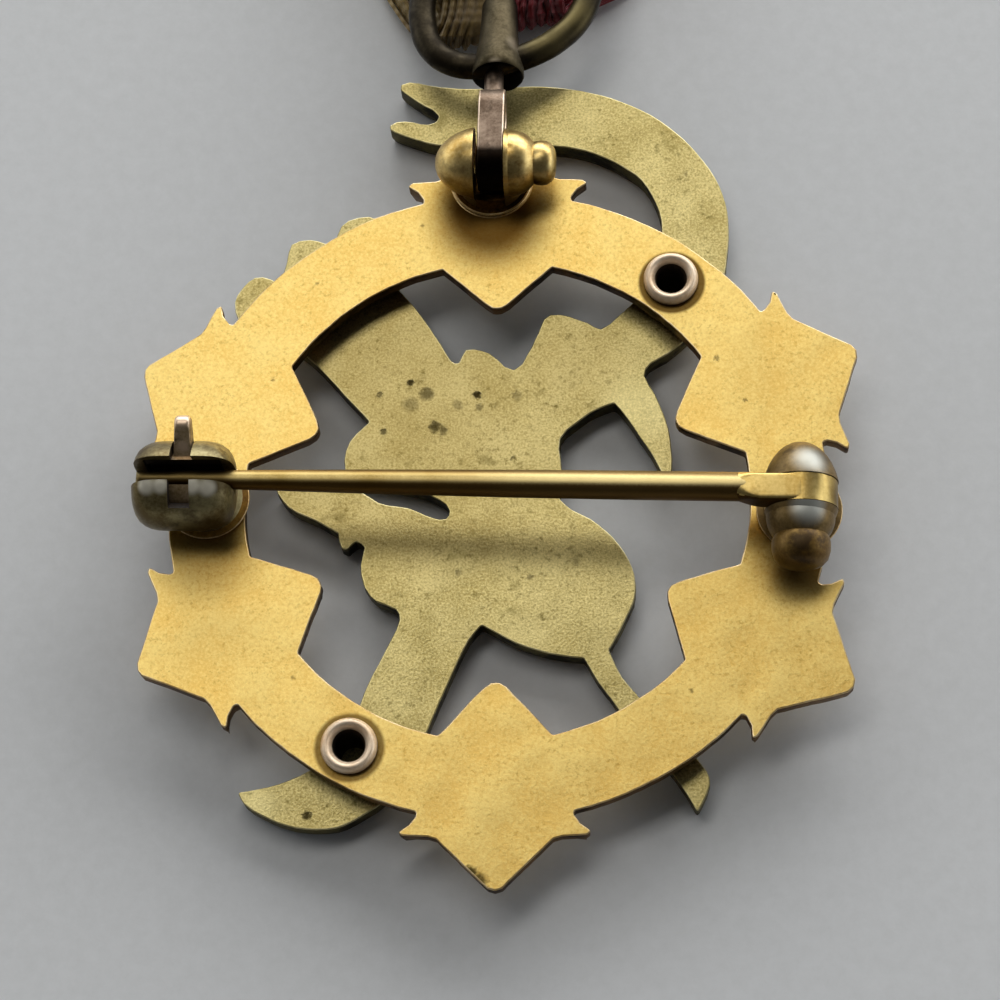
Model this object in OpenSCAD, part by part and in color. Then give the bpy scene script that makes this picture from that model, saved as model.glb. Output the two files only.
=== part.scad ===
// Membership medal lying on its face: a lobed ring over a cut-out beast, with pin, swivel and ribbon.
// Millimetres. X runs to the right, Y towards the ribbon, Z away from the surface that it lies on.
// The origin is the ring's centre, on the front face of the figure.

/* [Ring] */
// outside radius of the band
ring_outer_r = 13.8; // [13.6:0.1:14.0]
// inside radius of the band
ring_inner_r = 10.55; // [10.4:0.05:10.7]
// thickness of the ring
ring_thick = 1.5; // [1.4:0.1:1.6]
// half the width of a lobe at its shoulders
lobe_half_w = 2.35; // [2.2:0.05:2.5]
// how far the small hooks reach to each side of a lobe
hook_reach = 3.9; // [3.7:0.1:4.1]

/* [Figure] */
// thickness of the beast plate
figure_thick = 1.3; // [1.2:0.1:1.3]
// gap between plates that lie on each other
plate_gap = 0.02; // [0.01:0.01:0.03]

/* [Rivets] */
// radius of a rivet's shank
rivet_r = 0.92; // [0.85:0.01:0.95]
// radius of the hole through a rivet
rivet_hole_r = 0.6; // [0.5:0.05:0.65]
// outside radius of a rivet's rolled rim
rivet_rim_r = 1.15; // [1.1:0.05:1.25]
// play between a shank and its holes
rivet_play = 0.06; // [0.05:0.01:0.08]

/* [Ball joints] */
// radius of a ball across its axle
ball_r = 1.6; // [1.55:0.05:1.65]
// radius of the axle through a ball
axle_r = 0.45; // [0.4:0.05:0.45]
// radius of the axle's knob
knob_r = 0.9; // [0.8:0.05:0.95]
// width of the slot in the hinge ball
hinge_slot_w = 1.2; // [1.2:0.02:1.24]
// width of the slot in the hanger's ball
bail_slot_w = 1.3; // [1.26:0.02:1.34]

/* [Pin] */
// radius of the stem at the hinge
stem_root_r = 0.6; // [0.55:0.05:0.6]
// radius of the stem at its tip
stem_tip_r = 0.28; // [0.2:0.02:0.3]

/* [Catch] */
// outside radius of the catch
catch_r = 1.86; // [1.84:0.01:1.9]
// radius of the catch's bore
catch_bore_r = 1.42; // [1.4:0.01:1.44]
// play between the bore and the turning sleeve
catch_play = 0.05; // [0.03:0.01:0.06]
// width of the mouth
mouth_w = 1.06; // [1.04:0.01:1.1]

/* [Swivel] */
// slope of the swivel towards the surface, in degrees
swivel_slope = 9.4; // [9:0.1:9.8]
// radius of the bow's wire
bow_wire_r = 0.56; // [0.5:0.02:0.58]
// width of the strap loop
loop_w = 1.12; // [1.08:0.02:1.16]

/* [Ribbon] */
// thickness of the ribbon
cloth = 1.0; // [1.0:0.02:1.04]
// width of the spread ribbon
ribbon_w = 24; // [22:0.5:25]
// where the ribbon ends, from the ring's centre
ribbon_end_y = 50; // [46:1:54]

/* [Hidden] */

$fn = 48;
eps = 0.01;

ring_z = figure_thick + plate_gap;
ring_top = ring_z + ring_thick;
seat_z = ring_top + plate_gap;

// one row for each lobe: direction in degrees, radius of the inner tip, radius of the outer tip
LOBES = [
    [90.9, 8.42, 16.6],
    [23.3, 8.16, 16.4],
    [330.8, 8.24, 16.8],
    [270.8, 8.05, 16.65],
    [207.5, 8.17, 16.5],
    [159.5, 8.12, 16.15],
];
shoulder_r = 14.45;
notch_half_w = 3.2;
notch_r = 13.6;

// centre of each rivet
RIVET_UPPER = [7.27, 9.68];
RIVET_LOWER = [-5.77, -10.8];
rivet_floor = 0.3;
rivet_rim_h = 0.56;

// balls: centre, and how far the plain end and the knob end reach along the axle
HINGE = [12.56, -0.69, 4.6];
BAIL = [-0.47, 14.45, 4.5];
ball_long = 2.35;
ball_short = 1.75;
knob_start = 1.45;
knob_end = 2.85;
knob_dome = 0.5;
axle_depth = 1.65;
// where the knob's end of a ball is cut flat, as an angle from its middle
knob_side_deg = 54;
// the foot that a ball is soldered on: a thin rim, then a cone up to the ball
foot_r = 1.75;
foot_h = 0.22;
foot_step = 0.25;
foot_neck_r = 1.2;
// the slot's start below the ball's middle, and how far its open side reaches
slot_drop = 0.7;
slot_reach = 3.3;
eye_r = 1.5;
eye_play = 0.03;
eye_room = 0.05;
neck_back = 0.35;

// the stem's axis runs from its root, near the top of the eye, to its tip in the catch
STEM_ROOT = [10.85, -0.55, 5.46];
STEM_TIP = [-14.5, 0.03, 4.88];

// the catch lies along X
CATCH = [-12.8, -0.2, 4.6];
mouth_y = -0.02;
mouth_floor = 4.4;
sleeve_half = 1.55;
sleeve_r = catch_bore_r - catch_play;
sleeve_hole_r = 0.95;
sleeve_mouth_play = 0.08;
// half length of the catch outside, and its outline: distance from the middle, share of the radius
catch_half = 2.1;
CATCH_OUTLINE = [[2.1, 0.42], [2.02, 0.66], [1.8, 0.83], [1.4, 0.96], [0.9, 1]];
lever_x = -12.78;
lever_w = 0.76;
lever_h = 0.8;
lever_reach = 2.95;
lever_deg = 30;
catch_turn = 90;
lever_room_deg = 18;
lever_play = 0.12;
// where the catch's foot stands from the catch's middle, and how far below the middle it ends
catch_foot_x = 0.7;
catch_foot_top = 0.5;

// swivel, measured along its own axis from the middle of the hanger's ball
loop_r = 1.2;
loop_hole_r = 0.52;
loop_long = 2.4;
loop_room = 0.15;
loop_floor = 0.12;
post_r = 0.42;
post_play = 0.05;
post_end = 8.1;
collar_start = 4.6;
collar_h = 0.6;
collar_r = 1.13;
collar_step = 0.15;
collar_cone_h = 0.5;
barrel_end = 8.7;
barrel_bore_end = 8.2;
barrel_r = 0.7;
wire_sides = 12;
wire_step = 0.7;
// middle line of the bow's wire: one row for each turn, across and along
BOW = [
    [0, 5.45], [-0.9, 5.25], [-2.1, 5.35], [-3, 6.1], [-3.42, 7.2], [-3.5, 9.2], [-3.25, 11.6], [-2.1, 13.7],
    [0.3, 14.6], [2.8, 13.8], [4.1, 11.8], [4.2, 9.7], [3.75, 8.05], [2.9, 6.85], [1.3, 5.8],
];

// trunk: outer curve from the forked end to the neck; columns x, y, 1 for a sharp corner
TRUNK_OUT = [
    [-4.72, 19.85, 0], [-3, 19.75, 0], [-1.2, 19.62, 0], [1.2, 19.75, 0], [3.3, 19.5, 0],
    [5.1, 18.95, 0], [6.8, 18, 0], [8.4, 16.45, 0], [9.4, 14.8, 0], [9.77, 13.2, 0],
    [9.75, 11.8, 0], [9.5, 10.3, 0], [8.5, 8.3, 0],
];
TUSK = [
    [7.15, 6.95, 0], [6.4, 6.5, 0], [6.15, 5.95, 0], [6.6, 5.1, 0], [7.05, 3.95, 0], [7.3, 2.6, 0],
    [7.33, 1.7, 0], [7.15, 1, 1], [6.4, 2.45, 0], [5.3, 4.15, 0], [4.85, 4.7, 1], [4.1, 4.4, 0],
    [3.3, 3.8, 0], [2.6, 3.1, 0],
];
HAUNCH = [
    [2.65, 1.7, 0], [2.6, 0.35, 1], [3.1, -0.1, 0], [3.9, -0.5, 0], [4.8, -1.3, 0], [5.5, -2.3, 0],
    [5.8, -3.4, 0], [5.6, -4.5, 0],
];
TAIL = [
    [4.7, -6.25, 1], [5.25, -7.4, 0], [6, -8.3, 0], [6.8, -9.6, 0], [8, -10.5, 0], [8.7, -11.35, 0],
    [8.85, -11.9, 0], [8.35, -13.1, 1], [7.7, -12, 0], [5.9, -9.75, 0], [4.25, -7.6, 0],
];
BELLY = [
    [3.65, -6.6, 1], [2.2, -6.4, 0], [0.8, -5.95, 0], [-0.6, -5.2, 1], [-1.1, -5.8, 0], [-1.9, -7.6, 0],
];
FOOT = [
    [-2.7, -9.6, 0], [-3.4, -11.4, 0], [-4.4, -12.65, 0], [-6, -13.68, 0], [-7.2, -13.88, 0],
    [-8.4, -13.72, 0], [-9.5, -13.3, 0], [-10.2, -12.85, 0], [-10.5, -12.35, 1], [-8.8, -12, 0],
    [-7.1, -11.1, 0], [-6.1, -9.9, 0],
];
CHEST = [
    [-5.25, -7.7, 0], [-4.5, -6.1, 0], [-4.05, -4.95, 0], [-4.2, -4.5, 0], [-5, -4.2, 0], [-5.6, -3.5, 0],
    [-5.75, -2.6, 0], [-5.6, -1.8, 1], [-5.95, -1.52, 0], [-6.3, -1.85, 0], [-6.6, -1.8, 0],
];
ARM = [
    [-6.75, -1.15, 1], [-7.75, -0.62, 0], [-8.9, -0.02, 0], [-9.5, 0.8, 1], [-8.4, 0.88, 0], [-5.9, 0.72, 0],
    [-5.1, 0.2, 0], [-3.8, -0.05, 0], [-2.7, -0.5, 0], [-2.2, -0.52, 0], [-2.05, -0.15, 0], [-2.5, 0.32, 0],
    [-3.8, 0.8, 0], [-6.5, 1.32, 1],
];
EAR = [
    [-6.62, 2.1, 0], [-6.4, 3, 0], [-5.62, 3.85, 1], [-6.1, 4.42, 0], [-8.3, 6.75, 0], [-9.8, 7.8, 0],
    [-11.2, 8.25, 0], [-11.65, 9.4, 0], [-11.1, 10.4, 0], [-10.5, 10.6, 0], [-9.7, 10.25, 1],
    [-9.45, 11.3, 0], [-9.3, 12.12, 0], [-8.5, 12.35, 0], [-7.37, 12.05, 1], [-7.15, 13, 0],
    [-6.4, 13.42, 0], [-5.5, 13.3, 0], [-5.05, 11.9, 0], [-4.7, 10.3, 0],
];
HEAD = [
    [-3.6, 8.9, 0], [-2.6, 7.4, 0], [-2.2, 6.7, 0], [-1.85, 6.55, 0], [-1.55, 7.15, 0], [-0.5, 7, 0],
    [0.55, 6.22, 0], [1.15, 6.95, 0], [1.55, 7.9, 0], [2.05, 8.78, 0], [3.7, 8.4, 0], [4.25, 8.1, 0],
    [5, 8.7, 0],
];
TRUNK_IN = [
    [6.15, 9.9, 0], [6.8, 11.2, 0], [6.9, 12.7, 0], [6.75, 13.6, 0], [6, 15.1, 0], [4.8, 16, 0],
    [3.5, 16.55, 0], [2.2, 16.8, 0], [-0.2, 16.95, 0], [-3, 16.9, 0], [-4.9, 17.52, 0],
    [-5.15, 17.85, 0], [-4.5, 18.05, 0], [-3.4, 17.92, 0], [-2.97, 18.3, 0], [-4, 19.05, 0],
];
figure_step = 0.5;

// path of the ribbon from its lower end round the fold to its upper end: along, height, gather
lower_z = cloth / 2;
fold_gap = 0.16;
fold_y = 22.65;
upper_z = lower_z + cloth + fold_gap;
ribbon_lift = 1.86;
lift_from_y = 23.4;
lift_to_y = 26.8;
rest_from_y = 29.6;
rest_to_y = 36.5;
pleats = 4;
stations = 22;
across = 24;
FOLD_TURN = [-60, -20, 20, 60];
// how much farther the fold reaches up the ribbon on its right side, and where that ends
skew = 1.1;
skew_len = 9;
// spread of each layer: distance from the ring's centre, left edge, right edge
LOWER_SPREAD = [
    [21.5, -3.2, 2.3], [23, -4.5, 3.8], [23.6, -4.9, 5], [24.6, -5.5, 5.8], [28, -7.1, 7.4], [32, -8.9, 9],
    [37, -10.6, 10.5], [43, -ribbon_w / 2 + 0.2, ribbon_w / 2 - 0.2], [48, -ribbon_w / 2, ribbon_w / 2],
];
UPPER_SPREAD = [
    [21.5, -3.2, 2.3], [23, -2.9, 2.5], [24.5, -2.7, 2.6], [28, -2.5, 2.5], [29.6, -3.2, 3.4],
    [32, -6.6, 6.6], [37, -10.6, 10.5], [43, -ribbon_w / 2 + 0.2, ribbon_w / 2 - 0.2],
    [48, -ribbon_w / 2, ribbon_w / 2],
];
// height of the pleats along the ribbon
PLEAT = [[21, 0.04], [24, 0.08], [28, 0.16], [33, 0.34], [40, 0.22], [50, 0.08], [60, 0.08]];

// direction of a smooth outline at one of its points
function heading(rows, i) =
    let (n = len(rows), a = rows[(i + n - 1) % n], b = rows[(i + 1) % n], d = [b.x - a.x, b.y - a.y])
    d / norm(d);

// closed outline through rows of x, y and corner mark, curved between the smooth ones
function outline(rows, step) = [
    for (i = [0 : len(rows) - 1])
        let (p = rows[i], q = rows[(i + 1) % len(rows)], a = [p.x, p.y], b = [q.x, q.y], d = b - a,
             m = p.z > 0 ? d : heading(rows, i) * norm(d),
             k = q.z > 0 ? d : heading(rows, (i + 1) % len(rows)) * norm(d),
             n = p.z > 0 && q.z > 0 ? 1 : max(2, ceil(norm(d) / step)))
        for (j = [0 : n - 1])
            let (t = j / n, t2 = t * t, t3 = t2 * t)
            a * (2 * t3 - 3 * t2 + 1) + m * (t3 - 2 * t2 + t) + b * (3 * t2 - 2 * t3) + k * (t3 - t2)
];

// half of a lobe's outline, across and outwards, from the inner tip to the outer tip
function half_lobe(inner, outer) = [
    [0.18, inner + 0.02], [0.48, inner + 0.22], [lobe_half_w, 10.3], [notch_half_w, ring_inner_r + 1],
    [notch_half_w, notch_r], [notch_half_w + 0.25, notch_r + 0.35], [hook_reach, shoulder_r - 0.2],
    [hook_reach - 0.2, shoulder_r - 0.05], [lobe_half_w + 0.35, shoulder_r], [lobe_half_w, shoulder_r + 0.1],
    [0.3, outer - 0.1],
];

function lobe_outline(inner, outer) =
    let (h = half_lobe(inner, outer), n = len(h))
    concat(h, [[0, outer]], [for (i = [n - 1 : -1 : 0]) [-h[i].x, h[i].y]], [[0, inner]]);

module ring_plan() {
    difference() {
        circle(r = ring_outer_r, $fn = 180);
        circle(r = ring_inner_r, $fn = 180);
    }
    for (row = LOBES)
        rotate(row[0] - 90)
            polygon(lobe_outline(row[1], row[2]));
}

// half of a ball's section, from the axle's plain end to its knob end
BALL_SECTION = concat(
    [for (a = [90 : -9 : 0]) [ball_r * cos(a), ball_long * sin(a)]],
    [for (a = [9 : 9 : knob_side_deg]) [ball_r * cos(a), -ball_short * sin(a)]],
    [[0, -ball_short * sin(knob_side_deg)]]);

// a ball on its foot, its axle along Z, its foot towards -X
module ball_body(drop) {
    rotate_extrude()
        polygon(BALL_SECTION);
    translate([-drop, 0, 0])
        rotate([0, 90, 0]) {
            cylinder(r = foot_r, h = foot_h);
            translate([0, 0, foot_h])
                cylinder(r1 = foot_r - foot_step, r2 = foot_neck_r, h = drop / 2);
        }
}

// slot for an eye, and the axle's hole
module ball_cuts(slot_w, slot_r) {
    translate([0, 0, -slot_w / 2]) {
        cylinder(r = slot_r, h = slot_w);
        translate([-slot_drop, -ball_long, 0])
            cube([slot_drop + slot_reach, 2 * ball_long, slot_w]);
    }
    translate([0, 0, -knob_end])
        cylinder(r = axle_r + plate_gap, h = knob_end + axle_depth);
}

// axle with a domed knob at its lower end
module axle() {
    knob_h = knob_end - knob_start - plate_gap;
    translate([0, 0, knob_dome - knob_end])
        cylinder(r = axle_r, h = knob_end - knob_dome + axle_depth - plate_gap);
    translate([0, 0, -knob_end])
        rotate_extrude()
            polygon(concat([[0, 0]],
                [for (a = [10 : 20 : 90]) [knob_r * sin(a), knob_dome * (1 - cos(a))]],
                [[knob_r, knob_h], [0, knob_h]]));
}

// a ball's own axes: Z to the axle's direction, X up
module along_y() {
    rotate([-90, -90, 0])
        children();
}

module along_x() {
    rotate([0, -90, 0])
        children();
}

module ring_plate() {
    color("#d8b04c")
        difference() {
            union() {
                translate([0, 0, ring_z])
                    linear_extrude(ring_thick)
                        ring_plan();
                translate(BAIL)
                    along_x()
                        ball_body(BAIL.z - ring_top + eps);
            }
            translate(BAIL)
                along_x()
                    ball_cuts(bail_slot_w, loop_r + loop_room);
            // room for the loop on the ribbon's side
            translate([BAIL.x - bail_slot_w / 2, BAIL.y, ring_top + loop_floor])
                cube([bail_slot_w, 2 * ball_r, 2 * ball_r]);
            for (p = [RIVET_UPPER, RIVET_LOWER])
                translate([p.x, p.y, 0])
                    cylinder(r = rivet_r + rivet_play, h = 2 * ring_top);
        }
}

module figure_plate() {
    rows = concat(TRUNK_OUT, TUSK, HAUNCH, TAIL, BELLY, FOOT, CHEST, ARM, EAR, HEAD, TRUNK_IN);
    color("#a89a4a")
        difference() {
            linear_extrude(figure_thick)
                polygon(outline(rows, figure_step));
            for (p = [RIVET_UPPER, RIVET_LOWER])
                translate([p.x, p.y, rivet_floor])
                    cylinder(r = rivet_r + rivet_play, h = figure_thick);
        }
}

// hollow rivet with a rolled rim on the ring's back
module rivet(p) {
    rim = (rivet_rim_r - rivet_hole_r) / 2;
    translate([p.x, p.y, 0])
        difference() {
            union() {
                translate([0, 0, rivet_floor + plate_gap])
                    cylinder(r = rivet_r, h = ring_top - rivet_floor);
                translate([0, 0, seat_z])
                    cylinder(r = rivet_rim_r, h = rivet_rim_h - rim);
                translate([0, 0, seat_z + rivet_rim_h - rim])
                    rotate_extrude()
                        translate([rivet_rim_r - rim, 0])
                            circle(r = rim);
            }
            cylinder(r = rivet_hole_r, h = 2 * ring_top);
        }
}

module rivet_upper() {
    color("#c79a74")
        rivet(RIVET_UPPER);
}

module rivet_lower() {
    color("#c79a74")
        rivet(RIVET_LOWER);
}

module hinge_ball() {
    color("#a8a294")
        translate(HINGE)
            along_y()
                difference() {
                    ball_body(HINGE.z - seat_z);
                    ball_cuts(hinge_slot_w, eye_r + eye_room);
                }
}

module hinge_rivet() {
    color("#8c7440")
        translate(HINGE)
            along_y()
                axle();
}

// straight rod that narrows from one point to another
module rod(a, b, r_a, r_b) {
    d = b - a;
    translate(a)
        rotate([0, acos(d.z / norm(d)), atan2(d.y, d.x)])
            cylinder(r1 = r_a, r2 = r_b, h = norm(d));
}

module pin_stem() {
    eye_w = hinge_slot_w - 2 * eye_play;
    neck_z = STEM_ROOT.z - stem_root_r;
    color("#c8a448")
        difference() {
            union() {
                translate([HINGE.x, HINGE.y + eye_w / 2, HINGE.z])
                    rotate([90, 0, 0])
                        cylinder(r = eye_r, h = eye_w);
                // flat neck from the eye to the stem
                translate([STEM_ROOT.x - neck_back, HINGE.y - eye_w / 2, neck_z])
                    cube([HINGE.x - STEM_ROOT.x + neck_back, eye_w, HINGE.z + eye_r - neck_z]);
                rod(STEM_ROOT, STEM_TIP, stem_root_r, stem_tip_r);
                translate(STEM_TIP)
                    sphere(r = stem_tip_r);
            }
            translate([HINGE.x, HINGE.y + eye_w, HINGE.z])
                rotate([90, 0, 0])
                    cylinder(r = axle_r + eye_room, h = 2 * eye_w);
        }
}

// catch seen along its own axis, which becomes X
module along_catch() {
    translate(CATCH)
        rotate([90, 0, 90])
            children();
}

module mouth(width) {
    translate([mouth_y - CATCH.y - width / 2, mouth_floor - CATCH.z, -catch_half - eps])
        cube([width, 2 * catch_r, 2 * (catch_half + eps)]);
}

// wedge of a turn about the catch's axis, between two angles
module turn_wedge(from_deg, to_deg, reach, width) {
    steps = 6;
    span = to_deg - from_deg;
    rim = [for (i = [0 : steps]) let (a = from_deg + span * i / steps) reach * [cos(a), sin(a)]];
    translate([0, 0, -width / 2])
        linear_extrude(width)
            polygon(concat([[0, 0]], rim));
}

module catch_housing() {
    half = [for (row = CATCH_OUTLINE) [catch_r * row[1], row[0]]];
    n = len(half);
    cone_h = CATCH.z - seat_z - foot_h - catch_foot_top;
    color("#8a8466")
        difference() {
            union() {
                along_catch()
                    rotate_extrude()
                        polygon(concat([[0, -catch_half]], [for (p = half) [p.x, -p.y]],
                            [for (i = [n - 1 : -1 : 0]) half[i]], [[0, catch_half]]));
                translate([CATCH.x + catch_foot_x, CATCH.y, seat_z]) {
                    cylinder(r = foot_r, h = foot_h);
                    translate([0, 0, foot_h])
                        cylinder(r1 = foot_r - foot_step, r2 = foot_neck_r, h = cone_h);
                }
            }
            along_catch() {
                translate([0, 0, -sleeve_half - catch_play])
                    cylinder(r = catch_bore_r, h = 2 * (sleeve_half + catch_play));
                mouth(mouth_w);
                translate([0, 0, lever_x - CATCH.x])
                    turn_wedge(lever_deg - lever_room_deg, lever_deg + catch_turn + lever_room_deg,
                        lever_reach, lever_w + lever_play);
            }
            // flat underside on the ring
            translate([CATCH.x - 2 * catch_half, CATCH.y - 2 * catch_r, seat_z - catch_r])
                cube([4 * catch_half, 4 * catch_r, catch_r]);
        }
}

// turning sleeve with its lever
module catch_rotor() {
    color("#b09a60")
        along_catch()
            difference() {
                union() {
                    translate([0, 0, -sleeve_half])
                        cylinder(r = sleeve_r, h = 2 * sleeve_half);
                    translate([0, 0, lever_x - CATCH.x])
                        rotate(lever_deg)
                            translate([sleeve_hole_r, -lever_h / 2, -lever_w / 2]) {
                                cube([lever_reach - sleeve_hole_r - lever_h / 2, lever_h, lever_w]);
                                translate([lever_reach - sleeve_hole_r - lever_h / 2, lever_h / 2, 0])
                                    cylinder(r = lever_h / 2, h = lever_w);
                            }
                }
                translate([0, 0, -catch_half])
                    cylinder(r = sleeve_hole_r, h = 2 * catch_half);
                translate([mouth_y - CATCH.y - (mouth_w + sleeve_mouth_play) / 2, 0, -catch_half])
                    cube([mouth_w + sleeve_mouth_play, catch_r, 2 * catch_half]);
            }
}

module bail_rivet() {
    color("#d8b04c")
        translate(BAIL)
            along_x()
                axle();
}

// the swivel's own axes: Y along it, from the middle of the hanger's ball
module along_swivel() {
    translate(BAIL)
        rotate([-swivel_slope, 0, 0])
            children();
}

module swivel_loop() {
    color("#7a6a58")
        along_swivel()
            difference() {
                union() {
                    translate([-loop_w / 2, 0, 0])
                        rotate([0, 90, 0])
                            cylinder(r = loop_r, h = loop_w);
                    translate([-loop_w / 2, loop_long, 0])
                        rotate([0, 90, 0])
                            cylinder(r = loop_r, h = loop_w);
                    translate([-loop_w / 2, 0, -loop_r])
                        cube([loop_w, loop_long, 2 * loop_r]);
                    translate([0, loop_long + loop_r / 2, 0])
                        rotate([-90, 0, 0])
                            cylinder(r = post_r, h = post_end - loop_long - loop_r / 2);
                }
                for (y = [0, loop_long])
                    translate([-loop_w, y, 0])
                        rotate([0, 90, 0])
                            cylinder(r = loop_hole_r, h = 2 * loop_w);
                translate([-loop_w, 0, -loop_hole_r])
                    cube([2 * loop_w, loop_long, 2 * loop_hole_r]);
            }
}

// each face of four corners as two triangles
function halves(faces) = [for (f = faces, t = [[f[0], f[1], f[2]], [f[0], f[2], f[3]]]) t];

// closed tube of radius r round a flat closed line
module closed_tube(line, r, sides) {
    n = len(line);
    pts = [
        for (i = [0 : n - 1])
            let (a = line[(i + n - 1) % n], b = line[(i + 1) % n], d = (b - a) / norm(b - a),
                 out = [d.y, -d.x])
            for (j = [0 : sides - 1])
                let (t = 360 * j / sides)
                [line[i].x + out.x * r * cos(t), line[i].y + out.y * r * cos(t), r * sin(t)]
    ];
    faces = [
        for (i = [0 : n - 1], j = [0 : sides - 1])
            let (k = (i + 1) % n, m = (j + 1) % sides)
            [i * sides + j, i * sides + m, k * sides + m, k * sides + j]
    ];
    polyhedron(points = pts, faces = halves(faces));
}

module swivel_bow() {
    wire = outline([for (p = BOW) [p.x, p.y, 0]], wire_step);
    color("#5e5648")
        along_swivel()
            difference() {
                union() {
                    closed_tube(wire, bow_wire_r, wire_sides);
                    translate([0, collar_start, 0])
                        rotate([-90, 0, 0]) {
                            cylinder(r = collar_r, h = collar_h);
                            translate([0, 0, collar_h])
                                cylinder(r1 = collar_r - collar_step, r2 = barrel_r, h = collar_cone_h);
                            cylinder(r = barrel_r, h = barrel_end - collar_start);
                        }
                }
                translate([0, collar_start - eps, 0])
                    rotate([-90, 0, 0])
                        cylinder(r = post_r + post_play, h = barrel_bore_end - collar_start + eps);
            }
}

// rounded step from 0 to 1
function ease(t) = let (c = max(0, min(1, t))) c * c * (3 - 2 * c);

// rise of the upper layer where it passes over the bow's bar
function over_bar(y) =
    let (up = ease((y - lift_from_y) / (lift_to_y - lift_from_y)),
         down = ease((y - rest_from_y) / (rest_to_y - rest_from_y)))
    ribbon_lift * (up - down);

// stations of the ribbon's middle line: along, height, lean of the wall's normal in degrees
function straight_y(i) = ribbon_end_y + (fold_y - ribbon_end_y) * i / stations;
fold_r = (upper_z - lower_z) / 2;
RIBBON_PATH = concat(
    [for (i = [0 : stations]) [straight_y(i), lower_z, -90]],
    [for (a = FOLD_TURN) [fold_y - fold_r * cos(a), lower_z + fold_r * (1 + sin(a)), a]],
    [for (i = [stations : -1 : 0])
        let (y = straight_y(i), slope = (over_bar(y + 0.1) - over_bar(y - 0.1)) / 0.2)
        [y, upper_z + over_bar(y), 90 - atan(slope)]]);

// the fold lies higher on its right side
function fold_skew(y, u) = skew * ease(u * 1.4 - 0.3) * (1 - ease((y - fold_y) / skew_len));

// one point of the ribbon: station, place across from 0 to 1, side of the wall
function cloth_point(row, u, side) =
    let (y = row[0], spread = row[2] < 0 ? LOWER_SPREAD : UPPER_SPREAD,
         left = lookup(y, [for (s = spread) [s[0], s[1]]]),
         right = lookup(y, [for (s = spread) [s[0], s[2]]]),
         wave = lookup(y, PLEAT) * (1 - cos(360 * pleats * u)), h = side * cloth / 2)
    [left + (right - left) * u, y + fold_skew(y, u) - h * cos(row[2]), row[1] + wave + h * sin(row[2])];

module ribbon() {
    n = len(RIBBON_PATH);
    w = across + 1;
    pts = [for (side = [1, -1], row = RIBBON_PATH, j = [0 : across]) cloth_point(row, j / across, side)];
    back = n * w;
    last = (n - 1) * w;
    walls = concat(
        [for (i = [0 : n - 2], j = [0 : across - 1]) let (a = i * w + j) [a, a + w, a + w + 1, a + 1]],
        [for (i = [0 : n - 2], j = [0 : across - 1]) let (a = back + i * w + j) [a, a + 1, a + w + 1, a + w]],
        [for (i = [0 : n - 2]) let (a = i * w) [a, back + a, back + a + w, a + w]],
        [for (i = [0 : n - 2]) let (a = i * w + across) [a, a + w, back + a + w, back + a]],
        [for (j = [0 : across - 1]) [j, j + 1, back + j + 1, back + j]],
        [for (j = [0 : across - 1]) let (a = last + j) [a, back + a, back + a + 1, a + 1]]);
    color("#a8262c")
        polyhedron(points = pts, faces = halves(walls));
}

ring_plate();
figure_plate();
rivet_upper();
rivet_lower();
hinge_ball();
hinge_rivet();
pin_stem();
catch_housing();
catch_rotor();
bail_rivet();
swivel_loop();
swivel_bow();
ribbon();
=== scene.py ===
# Membership medal lying on its face: metal, ribbon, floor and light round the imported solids
import math

import bmesh
import bpy
from mathutils import Matrix, Vector, noise
from mathutils.geometry import delaunay_2d_cdt


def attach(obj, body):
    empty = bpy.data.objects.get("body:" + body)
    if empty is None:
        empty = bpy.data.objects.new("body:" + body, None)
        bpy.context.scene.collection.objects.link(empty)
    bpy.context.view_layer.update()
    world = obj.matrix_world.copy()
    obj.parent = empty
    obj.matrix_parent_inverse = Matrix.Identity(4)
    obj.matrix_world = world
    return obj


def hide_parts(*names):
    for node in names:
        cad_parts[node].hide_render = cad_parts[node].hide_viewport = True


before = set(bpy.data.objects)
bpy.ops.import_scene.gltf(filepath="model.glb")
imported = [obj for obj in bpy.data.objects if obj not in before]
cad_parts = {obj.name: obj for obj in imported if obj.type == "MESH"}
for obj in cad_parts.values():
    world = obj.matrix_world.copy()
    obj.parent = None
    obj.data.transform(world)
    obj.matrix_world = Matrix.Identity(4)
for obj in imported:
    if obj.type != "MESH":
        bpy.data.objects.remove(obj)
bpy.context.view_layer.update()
mm = 0.001
weld = 0.001  # points this close become one, in millimetres


# pieces are modelled in millimetres and made small when they are done

def take(*pieces):
    if bpy.context.object and bpy.context.object.mode != "OBJECT":
        bpy.ops.object.mode_set(mode="OBJECT")
    bpy.ops.object.select_all(action="DESELECT")
    for piece in pieces:
        piece.select_set(True)
    if pieces:
        bpy.context.view_layer.objects.active = pieces[0]


def edit(piece, part="FACE", action="DESELECT"):
    take(piece)
    bpy.ops.object.mode_set(mode="EDIT")
    bpy.ops.mesh.select_mode(type=part)
    bpy.ops.mesh.select_all(action=action)


def choose(piece, kind, test):
    # adds the parts that pass the test to the selection and says how many they are
    shape = bmesh.from_edit_mesh(piece.data)
    shape.normal_update()
    found = 0
    for part in getattr(shape, kind):
        if test(part):
            part.select_set(True)
            found += 1
    shape.select_flush_mode()
    bmesh.update_edit_mesh(piece.data)
    return found


def modifier(piece, kind, **settings):
    made = piece.modifiers.new(kind.title(), kind)
    for name, value in settings.items():
        setattr(made, name, value)
    take(piece)
    bpy.ops.object.modifier_apply(modifier=made.name)


def smooth(piece, degrees, weighted=False):
    take(piece)
    bpy.ops.object.shade_smooth_by_angle(angle=math.radians(degrees))
    if weighted:
        modifier(piece, "WEIGHTED_NORMAL", mode="FACE_AREA", weight=50, keep_sharp=True)


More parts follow.
